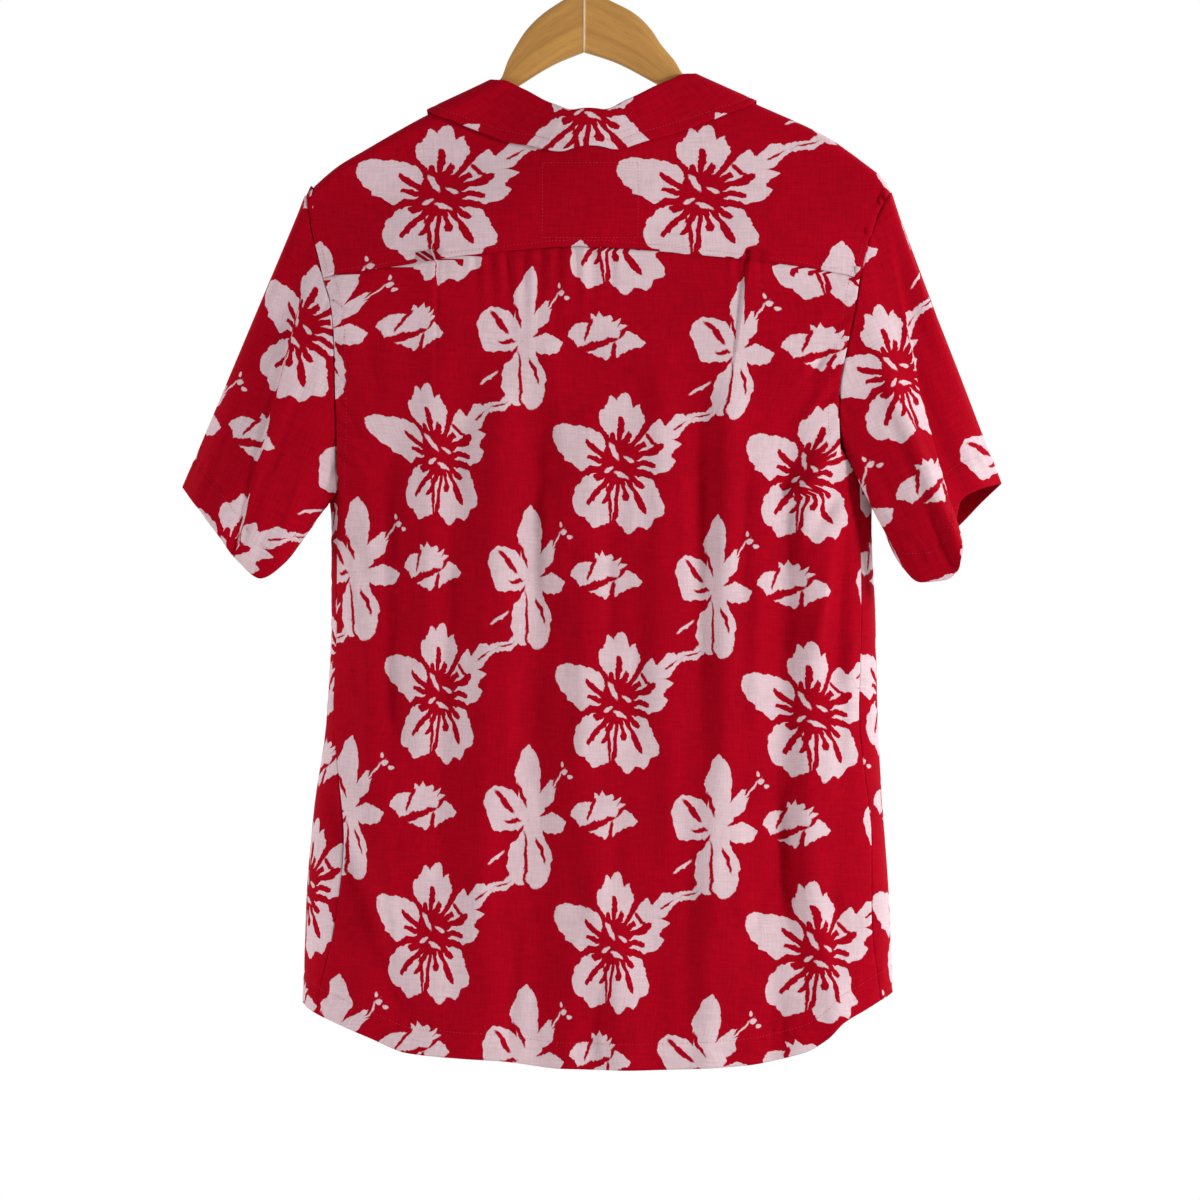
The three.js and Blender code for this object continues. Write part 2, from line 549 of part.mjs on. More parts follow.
// The back: its top lies under the yoke seam, its sides follow the armholes and the side seams
function backGeometry() {
  const sideSteps = (hand) => {
    const edge = curveOf(BACK_EDGES, 'z', hand);
    const low = heightOn(backHem, turnOf(edge(SIDE_SEAM_END), SIDE_SEAM_END, 1), SIDE_SEAM_END);
    const heights = steps(SIDE_STEPS).slice(1).map((t) => mix(UNDERARM[hand], low, t));
    return heights.map((z) => ({ x: edge(z), z, side: 1 }));
  };
  const left = [...LEFT_ARMHOLE.back, ...sideSteps('left')];
  const right = [...RIGHT_ARMHOLE.back, ...sideSteps('right')];
  const share = (nodes, r) => (nodes[0].z - nodes[r].z) / (nodes[0].z - nodes[nodes.length - 1].z);
  let gatherSpan = null;
  const place = (u, level) => {
    const r = Math.min(Math.max(Math.floor(level), 0), left.length - 2);
    const part = level - r;
    const turnLeft = mix(turnAt(left[r]), turnAt(left[r + 1]), part) + SEAM_TURN;
    const turnRight = mix(turnAt(right[r]), turnAt(right[r + 1]), part) - SEAM_TURN;
    const turn = mix(turnLeft, turnRight, u);
    const shareLeft = mix(share(left, r), share(left, r + 1), part);
    const shareRight = mix(share(right, r), share(right, r + 1), part);
    const top = heightOn(yokeSeam, mix(turnAt(left[0]), turnAt(right[0]), u), YOKE_LEVEL);
    const low = heightOn(backHem, mix(turnAt(left.at(-1)), turnAt(right.at(-1)), u), HEM_LEVEL);
    const down = mix(shareLeft, shareRight, u);
    const z = mix(top, low, down) - (1 - down) * (SEAM_GAP / 2);
    const point = bodyPlace(turn, z);
    point.y += pleatHeight(point.x, z);
    if (gatherSpan && u > gatherSpan.from && u < gatherSpan.to) {
      const across = (u - gatherSpan.from) / (gatherSpan.to - gatherSpan.from);
      const fade = (1 - smooth((top - z) / GATHER_LENGTH)) * smooth(Math.min(across, 1 - across) * 6);
      const uneven = 0.75 + 0.25 * Math.cos(across * 17);
      point.y += GATHER_HEIGHT * fade * uneven * Math.sin(across * GATHER_WAVES * Math.PI * 2);
    }
    return point;
  };
  gatherSpan = backColumns((u) => place(u, 0), true, true);
  const sparse = backColumns((u) => place(u, 0), false, true).list;
  const plain = backColumns((u) => place(u, 0), false, false).list;
  const rows = left.map((_, r) => {
    const drop = left[0].z - left[r].z;
    const near = drop < PLEAT_LENGTH ? sparse : plain;
    const list = drop < GATHER_LENGTH ? gatherSpan.list : near;
    return list.map((u) => ({ column: u, ...wallPoint(place, u, r, NEARBY_GATHER, NEARBY_DOWN, -1) }));
  });
  return wallGeometry(rows, false);
}

// One front: from its armhole and side seam to the neck, the roll line and the button edge
function frontGeometry(hand) {
  const sign = hand === 'left' ? 1 : -1;
  const hole = hand === 'left' ? LEFT_ARMHOLE : RIGHT_ARMHOLE;
  const sideEdge = curveOf(BACK_EDGES, 'z', hand);
  const innerEdge = curveOf(FRONT_EDGES, 'z', hand);
  const low = heightOn(backHem, turnOf(sideEdge(SIDE_SEAM_END), SIDE_SEAM_END, 1), SIDE_SEAM_END);
  const seam = steps(SIDE_STEPS).map((t) => mix(UNDERARM[hand], low, t))
    .map((z) => ({ x: sideEdge(z), z, side: 1 }));
  const around = (turn) => (hand === 'right' && turn < 0 ? turn + 1 : turn);
  const turned = (node) => ({ turn: around(turnOf(node.x, node.z, node.side)), z: node.z });
  const edge = [...hole.front.map(turned), ...hole.bottom, ...seam.map(turned)];
  const last = edge.length - 1;
  const yokeLine = (x) => ridge(x) - FRONT_YOKE_DROP - FRONT_SEAM_EASE;
  const topX = innerEdge(NECK_TOP);
  const lowX = innerEdge(HEM_LEVEL);
  const topTurn = around(turnOf(topX, yokeLine(topX), -1));
  const lowTurn = around(turnOf(lowX, frontHem(lowX), -1));
  const hemAt = (turn) => heightOn(Math.sin(turn * Math.PI * 2) > 0 ? backHem : frontHem, turn, HEM_LEVEL);
  const topAt = (v) => heightOn(yokeLine, mix(edge[0].turn, topTurn, v), SHOULDER_LEVEL);
  const lowAt = (v) => hemAt(mix(edge[last].turn, lowTurn, v));
  const place = (v, level) => {
    const r = Math.min(Math.max(Math.floor(level), 0), last - 1);
    const down = level / last;
    const zEdge = mix(edge[r].z, edge[r + 1].z, level - r);
    const zInner = mix(yokeLine(topX), frontHem(lowX), down);
    const turnEdge = mix(edge[r].turn, edge[r + 1].turn, level - r) - sign * SEAM_TURN;
    const turnInner = around(turnOf(innerEdge(zInner), zInner, -1));
    const offEdge = zEdge - mix(topAt(0), lowAt(0), down);
    const nearSide = 1 - smooth(v / FRONT_SIDE_SHARE);
    const z = mix(topAt(v), lowAt(v), down) + offEdge * nearSide - (1 - down) * (SEAM_GAP / 2);
    const point = bodyPlace(mix(turnEdge, turnInner, v), z);
    const past = point.x - (CENTRE_FRONT - LAP - UNDERLAP_RAMP);
    if (hand === 'right') point.y += UNDERLAP_DEPTH * smooth(past / UNDERLAP_RAMP);
    return point;
  };
  const rows = edge.map((_, r) => steps(FRONT_COLUMNS).map((v) => (
    { column: v, ...wallPoint(place, v, r, NEARBY_ACROSS, NEARBY_DOWN, sign) })));
  return wallGeometry(rows, false);
}

// The collar's stations, with each height turned into a run, as smooth curves of the station
const STATIONS = COLLAR.map((row, station) => ({
  station,
  lift: row.lift,
  neckX: row.neckX,
  neckRun: runOf(row.neckX, row.neckZ, row.side),
  foldX: row.foldX,
  foldRun: runOf(row.foldX, row.foldZ, row.side),
  edgeX: row.edgeX,
  edgeRun: runOf(row.edgeX, row.edgeZ, row.side),
}));
const station = Object.fromEntries(['neckX', 'neckRun', 'foldX', 'foldRun', 'edgeX', 'edgeRun', 'lift']
  .map((name) => [name, curveOf(STATIONS, 'station', name)]));

// The station between two others at which the neck seam has a given run
function stationAtRun(run, from, to) {
  let low = from;
  let high = to;
  for (let i = 0; i < SEARCH_STEPS; i += 1) {
    const middle = (low + high) / 2;
    if ((station.neckRun(middle) - run) * (station.neckRun(high) - run) > 0) high = middle;
    else low = middle;
  }
  return low;
}

// Stations that yoke and collar share along the neck seam, for each shoulder and the back between them
const frontRun = runOf(STATIONS[1].neckX, ridge(STATIONS[1].neckX) - FRONT_YOKE_DROP, -1);
const frontRuns = [...SHOULDER_RUNS.map((run) => -run), frontRun];
const backRuns = [...SHOULDER_RUNS, LOWER_NECK_RUN, CORNER_NECK_RUN];
const LAST_STATION = COLLAR.length - 1;
const LEFT_SHOULDER = 2;
const RIGHT_SHOULDER = LAST_STATION - 2;
const BACK_STATIONS = 4;
const neckStations = {
  leftFront: frontRuns.map((run) => stationAtRun(run, LEFT_SHOULDER, 0)),
  leftBack: backRuns.map((run) => stationAtRun(run, LEFT_SHOULDER, LEFT_SHOULDER + BACK_STATIONS)),
  rightFront: frontRuns.map((run) => stationAtRun(run, RIGHT_SHOULDER, LAST_STATION)),
  rightBack: backRuns.map((run) => stationAtRun(run, RIGHT_SHOULDER, RIGHT_SHOULDER - BACK_STATIONS)),
};
neckStations.middle = steps(YOKE_SEAM_STEPS)
  .map((t) => mix(neckStations.leftBack.at(-1), neckStations.rightBack.at(-1), t));

// The collar: up the stand, round the fold and down the fall
function collarGeometry() {
  const ends = steps(COLLAR_END_STEPS);
  const allStations = [
    ...ends.map((t) => mix(0, neckStations.leftFront.at(-1), t)).slice(0, -1),
    ...[...neckStations.leftFront].reverse().slice(0, -1),
    ...neckStations.leftBack.slice(0, -1),
    ...neckStations.middle,
    ...[...neckStations.rightBack].reverse().slice(1),
    ...neckStations.rightFront.slice(1),
    ...ends.map((t) => mix(neckStations.rightFront.at(-1), LAST_STATION, t)).slice(1),
  ];
  const rows = allStations.map((s) => {
    const neck = new THREE.Vector2(station.neckX(s), station.neckRun(s));
    const fold = new THREE.Vector2(station.foldX(s), station.foldRun(s));
    const edge = new THREE.Vector2(station.edgeX(s), station.edgeRun(s));
    const stand = fold.distanceTo(neck);
    const fall = fold.distanceTo(edge);
    const toNeck = neck.clone().sub(fold).normalize();
    const toEdge = edge.clone().sub(fold).normalize();
    const at = (direction, along, lift) => {
      const spot = fold.clone().addScaledVector(direction, along);
      return wallPoint(shoulderPlace, spot.x, spot.y, NEARBY, NEARBY, 1, lift).outer;
    };
    const points = [];
    for (const part of [1, 0.5]) {
      const along = Math.max(stand * part, FOLD_ROLL + 0.5 + part);
      points.push({ outer: at(toNeck, along, -CLOTH), inner: at(toNeck, along, 0) });
    }
    const centre = FOLD_ROLL - CLOTH;
    for (const angle of [-90, -30, 30, 90]) {
      const beta = THREE.MathUtils.degToRad(angle);
      const direction = angle < 0 ? toNeck : toEdge;
      const reach = (radius) => FOLD_ROLL - radius * Math.cos(beta);
      const rise = (radius) => centre + radius * Math.sin(beta);
      const inside = FOLD_ROLL - CLOTH;
      points.push({
        outer: at(direction, reach(FOLD_ROLL), rise(FOLD_ROLL)),
        inner: at(direction, reach(inside), rise(inside)),
      });
    }
    for (const part of [0.35, 0.7, 1]) {
      const lift = mix(centre + FOLD_ROLL, FALL_HEIGHT, part) + station.lift(s) * part;
      points.push({ outer: at(toEdge, fall * part, lift), inner: at(toEdge, fall * part, lift - CLOTH) });
    }
    return points.map((point, i) => ({ column: i / (points.length - 1), ...point }));
  });
  return wallGeometry(rows, false);
}

// The yoke: a horseshoe from the neck seam out to the front seams, the armholes and the back seam
function yokeGeometry() {
  const spot = (node) => new THREE.Vector2(node.x, runOf(node.x, node.z, node.side));
  const seamNodes = steps(YOKE_SEAM_STEPS).map((t) => {
    const x = mix(LEFT_ARMHOLE.back[0].x, RIGHT_ARMHOLE.back[0].x, t);
    return { x, z: yokeSeam(x), side: 1 };
  });
  const pair = (nodes, stations) => nodes.map((node, i) => ({ outer: spot(node), s: stations[i] }));
  const outline = [
    ...pair(LEFT_ARMHOLE.yokeFront, neckStations.leftFront).reverse().slice(0, -1),
    ...pair(LEFT_ARMHOLE.yokeBack, neckStations.leftBack).slice(0, -1),
    ...pair(seamNodes, neckStations.middle),
    ...pair(RIGHT_ARMHOLE.yokeBack, neckStations.rightBack).reverse().slice(1),
    ...pair(RIGHT_ARMHOLE.yokeFront, neckStations.rightFront).slice(1),
  ];
  const rows = outline.map(({ outer, s }) => {
    const neck = new THREE.Vector2(station.neckX(s), station.neckRun(s));
    const length = neck.distanceTo(outer);
    const from = SEAM_GAP / length;
    const to = 1 - SEAM_GAP / 2 / length;
    return steps(YOKE_COLUMNS).map((c) => {
      const at = neck.clone().lerp(outer, mix(from, to, c));
      return { column: c, ...wallPoint(shoulderPlace, at.x, at.y, NEARBY, NEARBY, 1) };
    });
  });
  return wallGeometry(rows, false);
}

// One lapel, turned back on its front along the roll line
function lapelGeometry(lapel) {
  const point = (x, z) => new THREE.Vector2(x, runOf(x, z, -1));
  const top = point(lapel.topX, lapel.topZ);
  const low = point(lapel.lowX, lapel.lowZ);
  const tip = point(lapel.tipX, lapel.tipZ);
  const rows = steps(LAPEL_STEPS).map((t) => {
    const roll = top.clone().lerp(low, t);
    const outer = tip.clone().lerp(low, t * LAPEL_TAPER);
    return steps(LAPEL_COLUMNS).map((c) => {
      const at = roll.clone().lerp(outer, c);
      const lift = LAPEL_HEIGHT + (1 - c) * LAPEL_ROLL;
      return { column: c, ...wallPoint(shoulderPlace, at.x, at.y, NEARBY, NEARBY, 1, lift) };
    });
  });
  return wallGeometry(rows, false);
}

// One sleeve: a tube from the armhole to the cuff, with its own soft folds
function sleeveGeometry(hand) {
  const hole = hand === 'left' ? LEFT_ARMHOLE : RIGHT_ARMHOLE;
  const cuff = hand === 'left' ? LEFT_CUFF : RIGHT_CUFF;
  const onShoulder = (node) => shoulderPlace(node.x, runOf(node.x, node.z, node.side));
  const onBody = (node) => bodyPlace(turnOf(node.x, node.z, node.side), node.z);
  const backHalf = [...hole.yokeBack.map(onShoulder), ...hole.back.slice(1).map(onBody)];
  const frontHalf = [...hole.yokeFront.map(onShoulder), ...hole.front.slice(1).map(onBody)];
  const bottom = hole.bottom.map((node) => bodyPlace(node.turn, node.z)).reverse();
  const loop = [...backHalf, ...bottom, ...frontHalf.slice(1).reverse()];
  const lengths = loop.map((p, i) => p.distanceTo(loop[(i + 1) % loop.length]));
  const half = backHalf.length + Math.floor(bottom.length / 2);
  const sum = (list) => list.reduce((a, b) => a + b, 0);
  const backLength = sum(lengths.slice(0, half));
  const frontLength = sum(lengths.slice(half));
  const turns = loop.map((_, i) => (i <= half
    ? (0.5 * sum(lengths.slice(0, i))) / backLength
    : 0.5 + (0.5 * sum(lengths.slice(half, i))) / frontLength));
  const cuffX = curveOf(cuff, 'turn', 'x');
  const cuffY = curveOf(cuff, 'turn', 'y');
  const cuffZ = curveOf(cuff, 'turn', 'z');
  const folds = SLEEVE_FOLDS.filter((fold) => fold.side === hand);
  const rings = steps(SLEEVE_STEPS).map((step) => loop.map((from, i) => {
    const to = new THREE.Vector3(cuffX(turns[i]), cuffY(turns[i]), cuffZ(turns[i]));
    const start = SEAM_GAP / from.distanceTo(to);
    const point = from.clone().lerp(to, mix(start, 1, step));
    const atBottom = Math.exp(-(((turns[i] - 0.5) / UNDERARM_EASE_WIDTH) ** 2));
    const clear = SEAM_GAP + SLEEVE_SEAM_EASE + UNDERARM_EASE * atBottom;
    point.x += (hand === 'left' ? 1 : -1) * clear * (1 - step);
    for (const fold of folds) {
      const near = Math.exp(-(((turns[i] - fold.turn) / fold.width) ** 2));
      point.y += Math.sign(point.y) * fold.height * near * smooth(step * 1.5);
    }
    return point;
  }));
  const count = loop.length;
  const rows = rings.map((ring, r) => ring.map((point, i) => {
    const round = ring[(i + 1) % count].clone().sub(ring[(i + count - 1) % count]);
    const down = rings[Math.min(r + 1, SLEEVE_STEPS)][i].clone().sub(rings[Math.max(r - 1, 0)][i]);
    const outward = round.cross(down).normalize().multiplyScalar(hand === 'left' ? -1 : 1);
    return { column: turns[i], outer: point, inner: point.clone().addScaledVector(outward, -CLOTH) };
  }));
  return wallGeometry(rows, true);
}

// A button with a raised rim, standing on the left front with its back to the cloth
function buttonMesh(index) {
  const z = BUTTON_TOP - index * BUTTON_PITCH;
  const profile = [
    [0, 0], [BUTTON_RADIUS * 0.8, 0], [BUTTON_RADIUS, BUTTON_THICKNESS * 0.4],
    [BUTTON_RADIUS * 0.9, BUTTON_THICKNESS], [BUTTON_RADIUS * 0.68, BUTTON_THICKNESS * 0.75],
    [0, BUTTON_THICKNESS * 0.7],
  ].map(([radius, height]) => new THREE.Vector2(radius, height));
  const geometry = new THREE.LatheGeometry(profile, 16);
  const turn = turnOf(CENTRE_FRONT, z, -1);
  const seat = wallPoint(bodyPlace, turn, z, NEARBY_ACROSS, BUTTON_RADIUS, 1, BUTTON_SEAT);
  const outward = seat.outer.clone().sub(seat.inner).normalize();
  geometry.applyQuaternion(new THREE.Quaternion().setFromUnitVectors(new THREE.Vector3(0, 1, 0), outward));
  geometry.translate(seat.outer.x, seat.outer.y, seat.outer.z);
  return named(`button_${index + 1}`, geometry, BUTTON_COLOUR, 0.35, 0);
}

// One half of the hanger: the neck, the sloping arm under the shoulder and its rounded end
function woodGeometry(end) {
  const sign = end.side === 'left' ? 1 : -1;
  const neck = end.side === 'left' ? WOOD_LEFT_NECK : WOOD_RIGHT_NECK;
  const lower = end.side === 'left' ? WOOD_LEFT_LOWER : WOOD_RIGHT_LOWER;
  const mitre = (sign * SEAM_GAP) / 2;
  const shape = new THREE.Shape();
  shape.moveTo(mitre, neck[0].z);
  neck.slice(1).forEach((row) => shape.lineTo(row.x, row.z));
  for (const t of steps(WOOD_ARM_STEPS)) {
    const x = mix(end.armX, end.endX, t);
    const slope = (ridge(x + 1) - ridge(x - 1)) / 2;
    shape.lineTo(x, ridge(x) - CLOTH * Math.hypot(1, slope) - WOOD_CLEARANCE - WOOD_TIP_DROP * t ** 6);
  }
  const tipTop = ridge(end.endX) - CLOTH - WOOD_CLEARANCE;
  const tip = lower[lower.length - 1];
  shape.lineTo(tip.x + sign * WOOD_TIP_ROUND, mix(tipTop, tip.z, 0.4));
  shape.lineTo(tip.x + sign * WOOD_TIP_ROUND / 2, mix(tipTop, tip.z, 0.8));
  for (const row of [...lower].reverse()) {
    shape.lineTo(row.x === 0 ? mitre : row.x, row.z);
  }
  const geometry = new THREE.ExtrudeGeometry(shape, {
    depth: WOOD_THICKNESS - 2 * WOOD_BEVEL,
    bevelEnabled: true,
    bevelThickness: WOOD_BEVEL,
    bevelSize: WOOD_BEVEL,
    bevelOffset: -WOOD_BEVEL,
    bevelSegments: 1,
  });
  geometry.translate(0, 0, WOOD_BEVEL - WOOD_THICKNESS / 2);
  geometry.rotateX(Math.PI / 2);
  return geometry;
}

// The hook: an open loop of wire over the rail and a straight stem down to the wood
function hookGeometry() {
  const radius = HOOK_INNER_RADIUS + HOOK_WIRE / 2;
  const centreZ = HOOK_WIRE / 2 - radius;
  const points = [];
  for (let degrees = 200; degrees >= -50; degrees -= 25) {
    const angle = THREE.MathUtils.degToRad(degrees);
    points.push(new THREE.Vector3(radius * Math.cos(angle), 0, centreZ + radius * Math.sin(angle)));
  }
  points.push(new THREE.Vector3(3, 0, centreZ - radius - 1));
  points.push(new THREE.Vector3(0, 0, centreZ - radius - 8));
  points.push(new THREE.Vector3(0, 0, WOOD_LEFT_NECK[0].z + SEAM_GAP));
  const section = new THREE.Shape();
  section.absarc(0, 0, HOOK_WIRE / 2, 0, Math.PI * 2);
  return new THREE.ExtrudeGeometry(section, {
    steps: 40,
    curveSegments: 4,
    extrudePath: new THREE.CatmullRomCurve3(points),
  });
}

function named(name, geometry, colour, roughness, metalness) {
  const material = new THREE.MeshStandardMaterial({ color: colour, roughness, metalness });
  const mesh = new THREE.Mesh(geometry, material);
  mesh.name = name;
  return mesh;
}
const cloth = (name, geometry) => named(name, geometry, RED_CLOTH, 0.85, 0);

const shirt = new THREE.Group();
shirt.add(cloth('back', backGeometry()));
shirt.add(cloth('yoke', yokeGeometry()));
shirt.add(cloth('front_left', frontGeometry('left')));
shirt.add(cloth('front_right', frontGeometry('right')));
shirt.add(cloth('collar', collarGeometry()));
for (const lapel of LAPELS) shirt.add(cloth(lapel.name, lapelGeometry(lapel)));
shirt.add(cloth('sleeve_left', sleeveGeometry('left')));
shirt.add(cloth('sleeve_right', sleeveGeometry('right')));
for (let i = 0; i < BUTTON_COUNT; i += 1) shirt.add(buttonMesh(i));

const hanger = new THREE.Group();
for (const end of WOOD_ENDS) {
  hanger.add(named(`hanger_wood_${end.side}`, woodGeometry(end), WOOD_COLOUR, 0.55, 0));
}
hanger.add(named('hanger_hook', hookGeometry(), STEEL_COLOUR, 0.25, 1));

const part = new THREE.Group();
part.add(shirt, hanger);

export default part;
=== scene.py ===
"""A red and white hawaiian shirt on a wooden hanger, seen from behind.

Lengths in the tables are millimetres in the frame of the part: +Z up, the back of the shirt faces +Y,
the wearer's left is +X, and the origin is the inside top of the hook. Blender objects are in metres.
"""
import math

import bpy
import numpy as np
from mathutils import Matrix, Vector


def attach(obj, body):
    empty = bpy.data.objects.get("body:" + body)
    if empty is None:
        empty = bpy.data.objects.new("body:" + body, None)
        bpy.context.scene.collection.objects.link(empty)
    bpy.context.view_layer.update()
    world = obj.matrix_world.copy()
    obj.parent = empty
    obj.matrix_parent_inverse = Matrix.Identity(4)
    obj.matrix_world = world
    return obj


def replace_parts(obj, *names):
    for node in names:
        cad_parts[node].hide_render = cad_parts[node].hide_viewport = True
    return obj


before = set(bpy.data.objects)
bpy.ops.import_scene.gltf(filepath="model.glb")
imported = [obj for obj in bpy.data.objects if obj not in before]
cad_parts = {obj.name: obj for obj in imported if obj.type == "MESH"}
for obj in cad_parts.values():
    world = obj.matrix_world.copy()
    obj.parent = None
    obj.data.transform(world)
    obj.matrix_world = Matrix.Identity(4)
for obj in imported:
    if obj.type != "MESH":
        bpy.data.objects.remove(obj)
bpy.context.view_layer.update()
MM = 0.001

# Photograph: one of its pixels is this many millimetres at the hanger's plane
PHOTO_PIXEL = 0.8
PHOTO_SIZE = 1200
PHOTO_MIDDLE = (-12.8, -550.0)
CAMERA_DISTANCE = 6.0
SENSOR = 36.0

# Which way each hand lies from the middle
SIGN = {"left": 1, "right": -1}

# Cloth
CLOTH_THICKNESS = 0.7
SHOULDER_RADIUS = 9.5
SHOULDER_ARC = SHOULDER_RADIUS * math.pi / 2
SHOULDER_FALL = 140.0
SQUARENESS = 2.6
SECTION_FADE = 1.4
SIDE_STEEPNESS = 30.0
FRONT_YOKE_DROP = 35.0
FRONT_SEAM_EASE = 0.45
SEAM_GAP = 0.3
SLEEVE_SEAM_EASE = 0.25
UNDERARM_EASE = 0.8
UNDERARM_EASE_WIDTH = 0.18
HEM_BAND = 21.0
SLEEVE_BAND = 25.0
HEM_RISE = 0.5
HEM_PULL = 0.45
HEM_PULL_REACH = 2.2
HEM_RIPPLE = 0.7
HEM_RIPPLE_REACH = 9.0
HEM_RIPPLE_PITCH = 11.0
PLACKET = 30.0
PLACKET_RISE = 0.4
PLACKET_PULL = 0.35
YOKE_STITCH = 5.5
YOKE_STITCH_TOP = -262.0
YOKE_PULL = 0.4
ARMHOLE_STITCH = 9.0
COLLAR_THICKNESS = 1.0
COLLAR_STITCH = 6.5
COLLAR_PULL = 0.35
COLLAR_RIPPLE = 0.3
COLLAR_RIPPLE_PITCH = 17.0
STATION_LENGTH = 40.0
TUCK_DEPTH = 1.0
TUCK_LENGTH = 9.0

# Half a seam gap as a turn round the body
BODY_ROUND = 1400.0
SEAM_TURN = SEAM_GAP / 2 / BODY_ROUND

# Stitches: each is a lens with six corners, its two ends, its two sides, its top and its underside
STITCH_PITCH = 2.8
STITCH_LENGTH = 1.9
STITCH_WIDTH = 0.45
STITCH_SINK = 0.1
STITCH_DEPTH = 0.15
STITCH_FACES = [(0, 2, 4), (2, 1, 4), (1, 3, 4), (3, 0, 4), (2, 0, 5), (1, 2, 5), (3, 1, 5), (0, 3, 5)]

# Corners of the stitched rectangle on the yoke: across, height
LABEL_CORNERS = [(33, -202), (-43, -202), (-43, -262), (33, -262)]

# Puckers along the seams: height, reach from the seam, pitch
PUCKERS = {
    "back_top": (0.35, 7, 12), "armhole": (2.1, 12, 12), "front": (0.5, 9, 13), "yoke": (0.4, 7, 12),
    "sleeve": (0.7, 12, 15),
}

# Grids of the cloth. Uneven ones are rows of a length and the size of its steps.
BACK_ROWS = [(172, 2.6), (453, 4.6), (27, 1.9)]
BACK_COLUMNS = [(82, 2.7), (16, 0.9), (144, 1.5), (66, 2.7), (36, 0.9), (84, 2.7)]
SLEEVE_ROWS = [(225, 3.6), (26, 1.9)]
SLEEVE_COLUMNS = 190
ARMHOLE_NODES = 9
SIDE_SEAM_NODES = 16
YOKE_SEAM_NODES = 21
FRONT_ROWS = 7
FRONT_COLUMNS = 104
YOKE_ROWS = 6
YOKE_COLUMNS = 52
COLLAR_COLUMNS = 260
FALL_ROWS = 22
LAPEL_GRID = (44, 30)
ARM_NODES = 12

# Studio, in metres
FLOOR_RADIUS = 1.5
FLOOR_LEVEL = -1.35
FLOOR_CORNERS = 64
AIM_HEIGHT = -0.55

# Front opening
CENTRE_FRONT = -8.0
LAP = 14.0
UNDERLAP_DEPTH = 1.7
UNDERLAP_RAMP = 22.0
BUTTON_TOP = -318.0
BUTTON_PITCH = 118.0
BUTTON_COUNT = 5
BUTTON_RADIUS = 5.7
BUTTON_THICKNESS = 2.6
BUTTON_LIFT = 0.95
BUTTON_SIDES = 40
BUTTON_DISH = 0.68
THREAD_RADIUS = 0.34

# Half section of a button: shares of its radius and of its thickness
BUTTON_PROFILE = [
    (0.78, 0), (0.94, 0.16), (1.0, 0.4), (0.99, 0.7), (0.94, 0.92), (0.86, 1.0), (0.76, 0.95),
    (0.66, 0.78), (0.56, 0.7),
]

# Hanger
WOOD_THICKNESS = 13.0
WOOD_SECTIONS = 120
WOOD_SQUARENESS = 0.42
WOOD_TIP_DROP = 2.0
WOOD_TIP_SHARE = 0.035
HOOK_WIRE = 3.8
HOOK_INNER_RADIUS = 18.0
HOOK_STEM_END = -61.7

# Print: size of the repeat on the flat cloth
REPEAT_WIDE = 208.0
REPEAT_HIGH = 190.0
GRAIN_TILT = 0.05
SHOW_THROUGH = 0.22

# Place on each piece where a big blossom of the print lies
BLOSSOMS = {
    "back": (-26, 55, -632), "yoke": (115, 30, -226), "front_left": (96, -60, -400),
    "front_right": (-84, -60, -430), "sleeve_left": (240, 40, -330), "sleeve_right": (-257, 40, -366),
}

# Heights of the main lines
NECK_TOP = -172.0
ARMHOLE_TOP = -230.0
YOKE_SEAM_LEVEL = -280.0
YOKE_SEAM_SIDE = -293.0
SIDE_SEAM_END = -868.0
HEM_LEVEL = -900.0
UNDERARM = {"left": -466.0, "right": -456.0}
FRONT_UNDERARM = {"left": -461.0, "right": -451.0}

# Runs over the shoulders where the seams have a node, and the last two on the back
SHOULDER_RUNS = [0, 5, 10, 15.5]
NECK_BACK_RUN = 27.0
BACK_RUN = 42.0

# Top of the shoulders: across, height
RIDGE = [
    (-252, -242), (-246, -226), (-240, -214), (-226, -202), (-193, -179), (-137, -153), (-88, -131),
    (-5, -92), (72, -135), (134, -166.5), (175, -190), (196, -202.5), (210, -214), (222, -226),
    (232, -242),
]

# Sections of the body: height, left and right turns, depth of the back and of the front
SECTIONS = [
    (-200, 262, -282, 38, 34), (-300, 254, -272, 42, 38), (-380, 240, -260, 46, 44),
    (-430, 220, -242, 49, 48), (-458, 206, -231, 51, 50), (-490, 202, -230, 52, 52),
    (-560, 202, -233, 54, 54), (-646, 206, -235, 56, 57), (-718, 216, -239, 59, 60),
    (-790, 222, -244, 62, 63), (-925, 226, -248, 66, 66),
]

# Edges of the back panel: height, left, right
BACK_EDGES = [
    (-224, 222.5, -245), (-240, 220.5, -236), (-265, 215, -226), (-293, 208, -220), (-312, 202, -217),
    (-342, 199, -211), (-390, 198, -203), (-425, 197, -204), (-443, 197, -213), (-456, 197, -220),
    (-560, 197, -221), (-643, 200, -219), (-692, 195, -224), (-740, 191, -229), (-800, 197, -229),
    (-868, 212, -236),
]

# Armholes of the fronts: height, left, right
FRONT_ARMHOLES = [
    (-224, 222.5, -245), (-255, 214, -230), (-300, 201, -215), (-350, 193, -206), (-400, 191, -203),
    (-430, 192, -208), (-446, 195, -217), (-462, 200, -223),
]

# Bottom of each armhole: share of the way round the side, left height, right height
ARMHOLE_BOTTOM = [
    (-0.68, -465.5, -455.5), (-0.34, -468.7, -458.7), (0, -470, -460), (0.34, -469.6, -459.6),
    (0.68, -468.2, -458.2),
]

